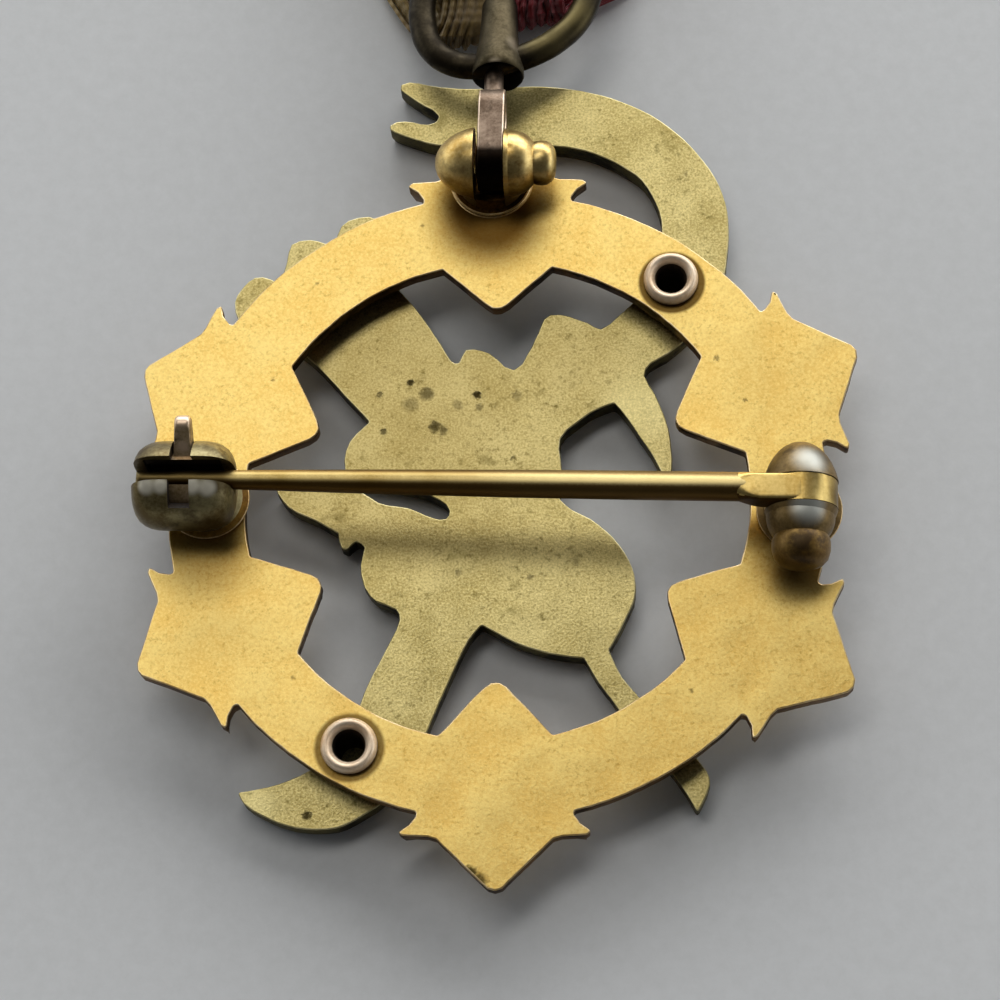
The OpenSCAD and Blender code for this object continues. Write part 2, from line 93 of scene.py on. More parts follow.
def roundEdges(piece, width, segments=3, sharp=40, **settings):
    modifier(piece, "BEVEL", width=width, segments=segments, limit_method="ANGLE",
             angle_limit=math.radians(sharp), **settings)


def combine(piece, operation, *others):
    for other in others:
        modifier(piece, "BOOLEAN", object=other, operation=operation, solver="EXACT")
        bpy.data.objects.remove(other)


def joinTo(piece, *others):
    take(piece, *others)
    bpy.ops.object.join()


def dress(piece, *materials):
    for material in materials:
        piece.data.materials.append(material)


def copyOf(node, name, *materials):
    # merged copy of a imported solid's mesh
    piece = bpy.data.objects.new(name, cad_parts[node].data.copy())
    bpy.context.collection.objects.link(piece)
    piece.data.materials.clear()
    piece.data.transform(Matrix.Scale(1 / mm, 4))
    edit(piece, action="SELECT")
    bpy.ops.mesh.remove_doubles(threshold=weld)
    bpy.ops.mesh.customdata_custom_splitnormals_clear()
    bpy.ops.mesh.dissolve_limited(angle_limit=math.radians(0.3))
    take(piece)
    dress(piece, *materials)
    return piece


def standsFor(piece, node, body, slot, *materials):
    dress(piece, *materials)
    piece.data.transform(Matrix.Scale(mm, 4))
    piece.data.update()
    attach(piece, body)
    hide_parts(node)


def turned(name, rows, sides=64, closed=False):
    # rows of radius and height in millimetres; each ring is drawn out of the one before
    take()
    radius, height = rows[0]
    bpy.ops.mesh.primitive_circle_add(vertices=sides, radius=radius, location=(0, 0, height))
    piece = bpy.context.object
    piece.name = name
    bpy.ops.object.transform_apply()
    edit(piece, "EDGE", "SELECT")
    if not closed:
        bpy.ops.mesh.edge_face_add()
        bpy.ops.mesh.select_mode(type="EDGE")
        shape = bmesh.from_edit_mesh(piece.data)
        for face in list(shape.faces):
            face.select_set(True)
        bmesh.update_edit_mesh(piece.data)
    for before, after in zip(rows, rows[1:]):
        bpy.ops.mesh.extrude_edges_move(
            TRANSFORM_OT_translate={"value": (0, 0, after[1] - before[1])})
        share = after[0] / before[0]
        bpy.ops.transform.resize(value=(share, share, 1), center_override=(0, 0, after[1]))
    if not closed:
        bpy.ops.mesh.edge_face_add()
    bpy.ops.mesh.select_all(action="SELECT")
    bpy.ops.mesh.remove_doubles(threshold=0.0002)
    bpy.ops.mesh.normals_make_consistent(inside=False)
    take(piece)
    return piece


def ease(share):
    share = max(0.0, min(1.0, share))
    return share * share * (3 - 2 * share)


def setDown(piece, matrix):
    # turns and places a piece, then fixes its place in the mesh
    take(piece)
    piece.matrix_world = matrix
    bpy.ops.object.transform_apply(location=True, rotation=True, scale=True)


def moved(x, y, z=0.0):
    return Matrix.Translation((x, y, z))


def cylinder(sides, radius, depth, matrix=None):
    take()
    bpy.ops.mesh.primitive_cylinder_add(vertices=sides, radius=radius, depth=depth)
    piece = bpy.context.object
    if matrix:
        setDown(piece, matrix)
    return piece


# surfaces: one socket that can be added and multiplied, and one shader that makes the nodes

class Signal:
    def __init__(self, shader, socket):
        self.shader = shader
        self.socket = socket

    def maths(self, operation, first, second=0.0):
        return self.shader.node("ShaderNodeMath", {"operation": operation}, {0: first, 1: second})

    def __add__(self, other):
        return self.maths("ADD", self, other)

    def __radd__(self, other):
        return self.maths("ADD", other, self)

    def __sub__(self, other):
        return self.maths("SUBTRACT", self, other)

    def __rsub__(self, other):
        return self.maths("SUBTRACT", other, self)

    def __mul__(self, other):
        return self.maths("MULTIPLY", self, other)

    def most(self, other):
        return self.maths("MAXIMUM", self, other)

    def sine(self):
        return self.maths("SINE", self)

    def step(self, low, high):
        # rounded step from 0 at low to 1 at high
        return self.shader.node(
            "ShaderNodeMapRange", {"interpolation_type": "SMOOTHSTEP"},
            {"Value": self, "From Min": low, "From Max": high, "To Min": 0.0, "To Max": 1.0})


class Shader:
    def __init__(self, name, holder=None):
        self.material = holder or bpy.data.materials.new(name)
        self.material.use_nodes = True
        self.tree = self.material.node_tree
        self.surface = self.tree.nodes.get("Principled BSDF")

    def node(self, kind, settings=None, values=None, out=0):
        made = self.tree.nodes.new(kind)
        for name, value in (settings or {}).items():
            if name == "stops":
                while len(made.color_ramp.elements) < len(value):
                    made.color_ramp.elements.new(0.5)
                for element, (place, colour) in zip(made.color_ramp.elements, value):
                    element.position = place
                    element.color = colour
            else:
                setattr(made, name, value)
        for name, value in (values or {}).items():
            self.join(value, made.inputs[name])
        return Signal(self, made.outputs[out])

    def join(self, value, socket):
        # a signal is linked, a number is set, and a colour's code is set as its paint
        if isinstance(value, Signal):
            self.tree.links.new(value.socket, socket)
        else:
            socket.default_value = paint(value) if isinstance(value, str) else value

    def set(self, **values):
        for name, value in values.items():
            self.join(value, self.surface.inputs[socketNames[name]])

    def vectors(self, operation, values, out=0):
        return self.node("ShaderNodeVectorMath", {"operation": operation}, values, out)

    def place(self):
        # place on the piece in millimetres
        return self.vectors("SCALE", {0: self.node("ShaderNodeTexCoord", out="Object"), "Scale": 1 / mm})

    def axes(self, vector):
        node = self.node("ShaderNodeSeparateXYZ", values={0: vector}).socket.node
        return [Signal(self, output) for output in node.outputs]

    def cloud(self, vector, scale, detail=3.0, roughness=0.55):
        return self.node("ShaderNodeTexNoise", values={
            "Vector": vector, "Scale": scale, "Detail": detail, "Roughness": roughness})

    def near(self, vector, centre, inner, outer):
        # 1 within the inner distance of a point, 0 beyond the outer one
        return 1.0 - self.vectors("DISTANCE", {0: vector, 1: centre}, "Value").step(inner, outer)

    def blend(self, mask, first, second):
        return self.node("ShaderNodeMix", {"data_type": "RGBA"}, {0: mask, 6: first, 7: second}, out=2)

    def relief(self, height, depth, strength=1.0, under=None):
        values = {"Strength": strength, "Distance": depth * mm, "Height": height}
        if under is not None:
            values["Normal"] = under
        return self.node("ShaderNodeBump", values=values)


socketNames = {
    "colour": "Base Color", "metal": "Metallic", "rough": "Roughness", "normal": "Normal",
    "sheen": "Sheen Weight", "sheenRough": "Sheen Roughness",
}


def paint(code):
    # a colour as it is seen on a screen, in the renderer's own scale
    parts = [int(code[i:i + 2], 16) / 255 for i in (1, 3, 5)]
    return tuple(c / 12.92 if c <= 0.04045 else ((c + 0.055) / 1.055) ** 2.4 for c in parts) + (1.0,)


# what a metal's look has where its own dictionary doesn't say; each halo, gleam and pit is a place
# with its reach and strength, each shaded side a direction with its start, end and strength
plainMetal = {
    "mottle": 0.45, "grain": 7.0, "fineShare": 0.3, "speckSize": 3.2, "rough": 0.42, "roughSpread": 0.12,
    "metal": 1.0, "stainSize": 0.9, "stainDepth": 0.8, "depth": 0.012, "relief": 0.6, "dentDepth": 0.05,
    "halos": (), "gleams": (), "shadedSides": (), "pits": (), "pitColour": "#33290f",
}


def metal(name, own):
    # worn metal: mottled colour, fine specks, stains, pits and soft dents, with painted shade and painted
    # highlights where the look lists halos, gleams or shaded sides
    look = {**plainMetal, **own}
    shader = Shader(name)
    place = shader.place()
    broad = shader.cloud(place, look["mottle"], 4.0)
    fine = shader.cloud(place, look["grain"], 2.0, 0.65)
    tone = (broad * (1 - look["fineShare"]) + fine * look["fineShare"]).step(0.32, 0.68)
    colour = shader.blend(tone, look["deep"], look["bright"])
    if "speck" in look:
        specks = shader.cloud(place, look["speckSize"], 3.0, 0.7).step(0.5, 0.72)
        clumps = shader.cloud(place, 0.8, 2.0).step(0.3, 0.65)
        colour = shader.blend(specks * (clumps * 0.7 + 0.3) * look["speck"], colour, look["speckColour"])
    rough = look["rough"] + (broad - 0.5) * look["roughSpread"]
    if "stain" in look:
        cover = shader.cloud(place, look["stainSize"], 5.0, 0.6)
        amount = cover.step(1.0 - look["stainShare"], 1.15 - look["stainShare"])
        colour = shader.blend(amount * look["stainDepth"], colour, look["stain"])
        rough = rough + amount * 0.1
    height = fine * 0.6 + broad * 0.4
    # halos darken round a place, mostly as painted shade; gleams lighten round a place as painted highlights
    for kind in ("halo", "gleam"):
        for x, y, z, inner, outer, depth in look[kind + "s"]:
            mask = shader.near(place, (x, y, z), inner, outer) * depth
            colour = shader.blend(mask, colour, look[kind + "Colour"])
    # each shaded side darkens a piece beyond a plane: painted shade
    for way, low, high, depth in look["shadedSides"]:
        side = shader.vectors("DOT_PRODUCT", {0: place, 1: way}, "Value")
        colour = shader.blend((side + (fine - 0.5) * 0.1).step(low, high) * depth, colour, look["sideShadeColour"])
    if look["pits"]:
        drift = shader.node("ShaderNodeTexNoise", values={"Vector": place, "Scale": 6.0}, out=1)
        shifted = shader.vectors("MULTIPLY_ADD", {0: drift, 1: (0.3, 0.3, 0.3), 2: place})
        holes = None
        for x, y, z, radius, depth in look["pits"]:
            mask = shader.near(shifted, (x + 0.15, y + 0.15, z + 0.15), radius * 0.3, radius) * depth
            holes = mask if holes is None else holes.most(mask)
        colour = shader.blend(holes, colour, look["pitColour"])
        height = height - holes * 1.5
        rough = rough + holes * 0.2
    normal = shader.relief(height, look["depth"], look["relief"])
    if "dents" in look:
        dents = shader.cloud(place, look["dents"], 1.0, 0.4)
        normal = shader.relief(dents, look["dentDepth"], 0.5, normal)
    shader.set(colour=colour, metal=look["metal"], rough=rough, normal=normal)
    return shader.material


def finishes(name, looks, *parts):
    return [metal(name + part.title(), looks[part]) for part in parts]


# camera, floor and light

camera = {
    "place": (7.01, -39.06, 116.15),
    "aim": (0.156, -0.2, 2.82),
    "up": (0, 0.9459, 0.3244),
    "lens": 103.7, "sensor": 36, "from": 0.01, "to": 10,
}


def makeCamera():
    data = bpy.data.cameras.new("camera")
    data.lens = camera["lens"]
    data.sensor_width = camera["sensor"]
    data.clip_start, data.clip_end = camera["from"], camera["to"]
    view = bpy.data.objects.new("camera", data)
    bpy.context.collection.objects.link(view)
    place = Vector(camera["place"])
    ahead = (Vector(camera["aim"]) - place).normalized()
    right = ahead.cross(Vector(camera["up"])).normalized()
    turn = Matrix((right, right.cross(ahead), -ahead)).transposed().to_4x4()
    view.matrix_world = Matrix.Translation(place * mm) @ turn
    bpy.context.scene.camera = view


stageLook = {
    "floorSize": 1.6, "floorZ": -0.00003, "floorColour": "#e2e2e1", "floorDeep": "#d6d6d4",
    # name, place and size in metres, power, colour
    "lamps": [
        ("ceilingStrip", (-0.15, 0.28, 0.79), (0.7, 0.22), 1.34, (1, 0.99, 0.965)),
        ("windowLight", (0.09, 0.40, 0.19), (0.6, 0.26), 1.5, (0.98, 0.99, 1)),
    ],
    "room": "#d9dde2", "roomPower": 2.7, "roomLeast": 0.07,
    "roomDark": (-0.55, 0.35), "roomHigh": (0.2, 0.65), "roomRight": 0.15,
}


def makeStage():
    take()
    bpy.ops.mesh.primitive_plane_add(size=stageLook["floorSize"], location=(0, 0, stageLook["floorZ"]))
    floor = bpy.context.object
    floor.name = "floor"
    bpy.ops.object.transform_apply()
    shader = Shader("floorPaint")
    place = shader.place()
    grain = shader.cloud(place, 1.4, 6.0, 0.7)
    broad = shader.cloud(place, 0.02, 2.0)
    tone = (grain * 0.5 + broad * 0.5).step(0.25, 0.75)
    colour = shader.blend(tone, stageLook["floorDeep"], stageLook["floorColour"])
    shader.set(colour=colour, rough=0.75, normal=shader.relief(grain, 0.02, 0.3))
    dress(floor, shader.material)

    for name, place, (wide, high), power, colour in stageLook["lamps"]:
        data = bpy.data.lights.new(name, "AREA")
        data.shape = "RECTANGLE"
        data.size, data.size_y = wide, high
        data.energy = power
        data.color = colour
        light = bpy.data.objects.new(name, data)
        bpy.context.collection.objects.link(light)
        light.location = place
        light.rotation_euler = (-Vector(place)).to_track_quat("-Z", "Y").to_euler()
        light.visible_camera = False
    # the room: pale low down and towards the windows, darker overhead and behind the camera
    world = bpy.data.worlds.new("roomLight")
    room = Shader("roomLight", world)
    x, y, z = room.axes(room.node("ShaderNodeTexCoord", out="Generated"))
    towards = (y + x * stageLook["roomRight"]).step(*stageLook["roomDark"])
    low = 1.0 - z.step(*stageLook["roomHigh"])
    power = (towards * low) * (stageLook["roomPower"] - stageLook["roomLeast"]) + stageLook["roomLeast"]
    back = world.node_tree.nodes["Background"]
    room.join(stageLook["room"], back.inputs["Color"])
    room.join(power, back.inputs["Strength"])
    bpy.context.scene.world = world
    bpy.context.scene.view_settings.view_transform = "Standard"


makeCamera()
makeStage()
print("camera, floor and light are in place")


# the two plates: a sawn and cast outline, rounded corners, a pale rim that is partly wear, partly painted
# highlight

# places that several pieces share
hangerPlace = Vector((-0.47, 14.45, 4.5))
hingePlace = Vector((12.56, -0.69, 4.6))
rivetPlaces = {"upper": Vector((7.27, 9.68)), "lower": Vector((-5.77, -10.8))}
ringZ, figureZ = (1.32, 2.82), (0, 1.3)
seatZ, beadZ = 2.84, 2.98

plateEdge = {
    "rim": 0.06, "longest": 0.5, "waver": 0.03, "reach": 0.012, "smallest": 0.2,
    # corners by how sharply they turn, in degrees, and how far each is cut back
    "corners": [(24, 60, 0.04), (60, 90, 0.08), (90, 115, 0.13), (115, 140, 0.2), (140, 180, 0.32)],
}

ringLook = {
    "front": {"upright": 0.66, "lean": 0.5, "lowY": -9.0, "lowLean": 0.2},
    "top": {
        "bright": "#f5d884", "deep": "#e0b964", "mottle": 0.5, "grain": 9.0, "fineShare": 0.5, "rough": 0.39,
        "speck": 0.6, "speckSize": 5.0, "speckColour": "#b08a3c",
        "stain": "#b48d3c", "stainShare": 0.3, "stainDepth": 0.35, "stainSize": 1.1,
        "depth": 0.016, "relief": 0.5, "dents": 0.5, "dentDepth": 0.06,
        # halos: dark round the soldered hanger, hinge and catch, partly stain and partly painted shade under
        # them; dark rings round the rivets, partly tarnish and partly painted shade; two faint wide ones
        # darken the left and right sides a little
        "halos": [(-0.47, 13.0, 2.9, 1.35, 3.5, 0.95), (12.5, -2.6, 2.9, 0.8, 3.0, 0.8),
                  (-12.2, -1.8, 2.9, 1.2, 3.6, 0.65), (7.31, 9.6, 2.9, 1.34, 1.5, 0.9),
                  (-5.77, -10.83, 2.9, 1.34, 1.54, 0.8), (-11.7, -5.6, 2.9, 0.5, 3.6, 0.12),
                  (11.2, 5.4, 2.9, 0.5, 3.4, 0.08)],
        "haloColour": "#4a2f08",
        "pits": [(-0.45, -16.35, 2.6, 0.62, 1.0), (-0.75, -15.95, 2.8, 0.4, 0.9), (9.2, 6.1, 2.8, 0.16, 0.5),
                 (-9.6, 5.2, 2.8, 0.14, 0.4), (10.4, 4.2, 2.8, 0.14, 0.5), (-8.2, -7.9, 2.8, 0.14, 0.4),
                 (8.1, -8.4, 2.8, 0.13, 0.5), (-7.9, 9.6, 2.8, 0.12, 0.4), (-3.4, 12.3, 2.8, 0.12, 0.4)],
    },
    # wall: a much darker copy of the gold with near-black stains, painted shade on the walls
    "wall": {"bright": "#8a6428", "deep": "#43290a", "rough": 0.5, "stain": "#150c02", "stainShare": 0.55,
             "stainDepth": 0.85, "stainSize": 0.7},
    # rim: paler gold on the bevel round the top, partly wear, partly painted highlight
    "rim": {"bright": "#f6dfae", "deep": "#d3ac66", "rough": 0.34, "depth": 0.006},
    "ball": {
        "bright": "#ecd08a", "deep": "#b58f48", "mottle": 0.9, "rough": 0.34, "roughSpread": 0.16,
        "relief": 0.5, "stain": "#6b4618", "stainShare": 0.46, "stainDepth": 0.65,
        # the halo darkens the ball low by its foot: painted shade
        "halos": [(-0.47, 13.3, 2.9, 0.5, 2.0, 0.75)], "haloColour": "#3b240a",
    },
}


def atLevel(z, *levels):
    return min(abs(z - level) for level in levels) < 0.01


def edgesAt(shape, level):
    return [edge for edge in shape.edges if all(atLevel(v.co.z, level) for v in edge.verts)]


def flatAt(face, corners, *levels):
    return abs(face.normal.z) > 0.995 and all(atLevel(co.z, *levels) for co in corners)


def shapePlate(piece, low, high, keep, front):
    # only the outline of the flat plate is worked: keep says which of its places stay as they are,
    # and front how its walls go down to the front face
    onPlate = lambda z: low - 0.01 < z < high + 0.01
    edit(piece, "EDGE")
    for gentle, sharp, cut in plateEdge["corners"]:

        def cornerEdge(edge):
            a, b = (v.co for v in edge.verts)
            upright = abs(a.x - b.x) < weld and abs(a.y - b.y) < weld
            return (upright and onPlate(a.z) and onPlate(b.z) and len(edge.link_faces) == 2
                    and gentle < math.degrees(edge.calc_face_angle(0)) <= sharp and not keep(a))

        bpy.ops.mesh.select_all(action="DESELECT")
        if choose(piece, "edges", cornerEdge):
            bpy.ops.mesh.bevel(offset=cut, segments=3, affect="EDGES", clamp_overlap=True)
    bpy.ops.mesh.select_all(action="SELECT")
    bpy.ops.mesh.bisect(plane_co=(0, 0, high - front["upright"]), plane_no=(0, 0, 1))
    openFaces(piece, low, high)
    tidyOutlines(piece, (low, high), keep)

    # the walls away, down to the outline of the upper face
    bpy.ops.mesh.select_mode(type="FACE")
    bpy.ops.mesh.select_all(action="DESELECT")
    choose(piece, "faces", lambda face: abs(face.normal.z) < 0.5 and all(
        onPlate(v.co.z) and not keep(v.co) for v in face.verts))
    bpy.ops.mesh.delete(type="ONLY_FACE")
    bpy.ops.mesh.select_mode(type="VERT")
    choose(piece, "verts", lambda v: not v.link_faces and v.co.z < high - 0.01)
    bpy.ops.mesh.delete(type="VERT")
    bpy.ops.mesh.select_mode(type="EDGE")
    isLong = lambda edge: edge.is_wire and edge.calc_length() > plateEdge["longest"]
    for turn in range(5):
        bpy.ops.mesh.select_all(action="DESELECT")
        if not choose(piece, "edges", isLong):
            break
        bpy.ops.mesh.subdivide(number_cuts=1)
    shape = bmesh.from_edit_mesh(piece.data)
    for vertex in shape.verts:
        if not vertex.link_faces:
            flatPlace = Vector((vertex.co.x, vertex.co.y, 0))
            waver = noise.noise_vector(flatPlace * 0.9) + 0.5 * noise.noise_vector(flatPlace * 2.7)
            vertex.co.xy += waver.xy * plateEdge["waver"]
    leaning = insetWays(shape, high, front)
    bmesh.update_edit_mesh(piece.data)

    # walls again: upright at first, then leaning in to the front
    bpy.ops.mesh.select_all(action="DESELECT")
    choose(piece, "edges", lambda edge: edge.is_wire)
    for drop in (front["upright"], high - low - front["upright"]):
        bpy.ops.mesh.extrude_region_move(TRANSFORM_OT_translate={"value": (0, 0, -drop)})
    shape = bmesh.from_edit_mesh(piece.data)
    for vertex in shape.verts:
        way = leaning.get((round(vertex.co.x, 3), round(vertex.co.y, 3)))
        if vertex.select and way:
            vertex.co.xy += way
    bmesh.update_edit_mesh(piece.data)
    mergeOutlines(piece, (high - front["upright"],), keep)
    tidyOutlines(piece, (low,), keep)
    closeFaces(piece, (low, high))
    take(piece)


def insetWays(shape, level, front):
    # for each place on the outline, the way into the metal, shorter where the metal is narrow
    edges = [edge for edge in edgesAt(shape, level) if edge.is_wire or edge.is_boundary]
    sides = [(*edge.verts[0].co.xy, *edge.verts[1].co.xy) for edge in edges]

    def crossings(x, y, dx, dy):
        found = []
        for ax, ay, bx, by in sides:
            ex, ey = bx - ax, by - ay
            under = dx * ey - dy * ex
            if abs(under) > 1e-9:
                far = ((ax - x) * ey - (ay - y) * ex) / under
                share = ((ax - x) * dy - (ay - y) * dx) / under
                if far > 0.0 and 0.0 <= share < 1.0:
                    found.append(far)
        return found

    ways = {}
    for vertex in shape.verts:
        linked = [edge for edge in vertex.link_edges if edge.is_wire]
        if vertex.link_faces or len(linked) != 2:
            continue
        a, b = (edge.other_vert(vertex).co for edge in linked)
        tangent = (b - a).normalized()
        way = Vector((-tangent.y, tangent.x))
        # inside the metal, a line in any direction crosses the outline an odd number of times
        if len(crossings(*(vertex.co.xy + way * 0.011), 0.83, 0.557)) % 2 == 0:
            way = -way
        ahead = crossings(*(vertex.co.xy + way * 0.02), *way)
        lean = front["lean" if vertex.co.y > front["lowY"] else "lowLean"]
        step = min(lean, 0.38 * min(ahead, default=0.0))
        ways[(round(vertex.co.x, 3), round(vertex.co.y, 3))] = way * step
    return ways


def openFaces(piece, *levels):
    # takes the flat faces away and leaves their outlines
    bpy.ops.mesh.select_all(action="DESELECT")
    bpy.ops.mesh.select_mode(type="FACE")
    choose(piece, "faces", lambda face: flatAt(face, [v.co for v in face.verts], *levels))
    bpy.ops.mesh.delete(type="ONLY_FACE")
    bpy.ops.mesh.select_mode(type="EDGE")
    choose(piece, "edges", lambda edge: edge.is_wire)
    bpy.ops.mesh.delete(type="EDGE")


def outlineRings(shape, level):
    # the open outlines at one level, each as a list of vertices in order
    waiting = dict.fromkeys(edge for edge in edgesAt(shape, level) if edge.is_boundary)
    rings = []
    while waiting:
        edge = next(iter(waiting))
        del waiting[edge]
        ring = list(edge.verts)
        while True:
            onward = [e for e in ring[-1].link_edges if e in waiting]
            if not onward:
                break
            del waiting[onward[0]]
            ring.append(onward[0].other_vert(ring[-1]))
        rings.append(ring[:-1] if ring[0] == ring[-1] else ring)
    return rings


def ringArea(ring):
    return abs(sum(a.co.x * b.co.y - b.co.x * a.co.y for a, b in zip(ring, ring[1:] + ring[:1]))) / 2


def mergeOutlines(piece, levels, keep):
    bpy.ops.mesh.select_mode(type="VERT")
    bpy.ops.mesh.select_all(action="DESELECT")
    choose(piece, "verts", lambda v: atLevel(v.co.z, *levels) and not keep(v.co))
    bpy.ops.mesh.remove_doubles(threshold=plateEdge["reach"])
    bpy.ops.mesh.select_mode(type="EDGE")


def tidyOutlines(piece, levels, keep=lambda co: False):
    # points that touch become one, and crossed bits and tiny loops of an outline are drawn together
    mergeOutlines(piece, levels, keep)
    shape = bmesh.from_edit_mesh(piece.data)
    side = lambda p, q, r: (q.x - p.x) * (r.y - p.y) - (q.y - p.y) * (r.x - p.x)
    for level in levels:
        for ring in outlineRings(shape, level):
            count = len(ring)
            if not any(edge.other_vert(ring[-1]) == ring[0] for edge in ring[-1].link_edges):
                continue
            for far in range(min(24, count // 2), 1, -1):
                for i in range(count):
                    a, b = ring[i].co, ring[(i + 1) % count].co
                    c, d = ring[(i + far) % count].co, ring[(i + far + 1) % count].co
                    if side(a, b, c) * side(a, b, d) < 0 and side(c, d, a) * side(c, d, b) < 0:
                        share = side(c, d, a) / (side(c, d, a) - side(c, d, b))
                        meeting = a.lerp(b, share)
                        for k in range(1, far + 1):
                            ring[(i + k) % count].co = meeting
            if ringArea(ring) < plateEdge["smallest"]:
                for vertex in ring:
                    vertex.co = ring[0].co
    bmesh.update_edit_mesh(piece.data)
    mergeOutlines(piece, levels, keep)


def closeFaces(piece, levels):
    # fills each level's outlines with triangles again, holes left open
    shape = bmesh.from_edit_mesh(piece.data)
    for level in levels:
        edges = [edge for edge in edgesAt(shape, level) if edge.is_boundary]
        corners = list(dict.fromkeys(v for edge in edges for v in edge.verts))
        order = {corner: i for i, corner in enumerate(corners)}
        lines = [tuple(order[v] for v in edge.verts) for edge in edges]
        sides = [(*edge.verts[0].co.xy, *edge.verts[1].co.xy) for edge in edges]
        filled = delaunay_2d_cdt([v.co.xy for v in corners], lines, [], 0, 1e-5)
        points, triangles, origins = filled[0], filled[2], filled[3]
        ends = [corners[origin[0]] if origin else shape.verts.new((*point, level))
                for point, origin in zip(points, origins)]
        for triangle in triangles:
            x, y = sum((points[i] for i in triangle), Vector((0, 0))) / 3
            passed = sum((ay > y) != (by > y) and x < (bx - ax) * (y - ay) / (by - ay) + ax
                         for ax, ay, bx, by in sides)
            if passed % 2:
                shape.faces.new([ends[i] for i in triangle])
    bmesh.update_edit_mesh(piece.data)
    bpy.ops.mesh.select_all(action="SELECT")
    bpy.ops.mesh.normals_make_consistent(inside=False)


def rimOff(piece, levels, slotOf):
    # walls and faces by their slope, the walls with a darker finish that is painted shade, then a small bevel
    # round the upper face with a pale finish of its own, partly wear and partly painted highlight
    for face in piece.data.polygons:
        face.material_index = slotOf(face)
    piece.data.update()
    high = max(levels)
    edit(piece, "EDGE")
    choose(piece, "edges", lambda edge: all(atLevel(v.co.z, high) for v in edge.verts)
           and len(edge.link_faces) == 2 and edge.calc_face_angle(0) > math.radians(38))
    bpy.ops.mesh.bevel(offset=plateEdge["rim"], segments=2, affect="EDGES", clamp_overlap=False, material=2)
    openFaces(piece, high)
    tidyOutlines(piece, (high,))
    closeFaces(piece, (high,))
    smooth(piece, 40, weighted=True)
    # the flat faces are shaded as flat
    shape = piece.data
    faceWays = {}
    for face in shape.polygons:
        if flatAt(face, [face.center], *levels):
            face.material_index = 0
            for index in face.vertices:
                faceWays[index] = (0, 0, 1 if face.normal.z > 0 else -1)
    shape.normals_split_custom_set([
        faceWays.get(loop.vertex_index, tuple(shape.corner_normals[loop.index].vector))
        for loop in shape.loops])


def nearRivet(co, reach):
    return min((co.xy - place).length for place in rivetPlaces.values()) < reach


def onTop(face):
    return abs(face.normal.z) > 0.7


def footBead(name, place, material):
    # bright edge of a soldered foot: a bead in a pale finish, partly wear, partly painted highlight
    turns = [math.radians(degrees) for degrees in range(0, 360, 45)]
    rows = [(1.71 + 0.07 * math.cos(turn), 0.06 * math.sin(turn)) for turn in turns]
    bead = turned(name, rows + rows[:1], 72, closed=True)
    setDown(bead, moved(*place.xy, beadZ))
    dress(bead, material)
    smooth(bead, 60)
    return bead


def makeRingPlate():
    ring = copyOf("ring_plate", "ringPlate", *finishes("ringGold", ringLook, "top", "wall", "rim", "ball"))
    nearBall = lambda co: (co.xy - hangerPlace.xy).length < 2.6
    shapePlate(ring, *ringZ, lambda co: nearBall(co) or nearRivet(co, 1.1), ringLook["front"])

    def slotOf(face):
        # the walls of the slot in the hanger's ball take the dark wall finish: painted shade
        if face.center.z > ringZ[1] + 0.01:
            return 1 if abs(face.center.x - hangerPlace.x) < 0.67 else 3
        if nearBall(face.center) and abs(face.normal.z) < 0.7 and face.center.z > ringZ[1] - 0.07:
            return 3
        return 0 if onTop(face) else 1

    rimOff(ring, ringZ, slotOf)
    joinTo(ring, footBead("hangerBead", hangerPlace, bpy.data.materials["ringGoldRim"]))
    standsFor(ring, "ring_plate", "medal", "ring_gold")


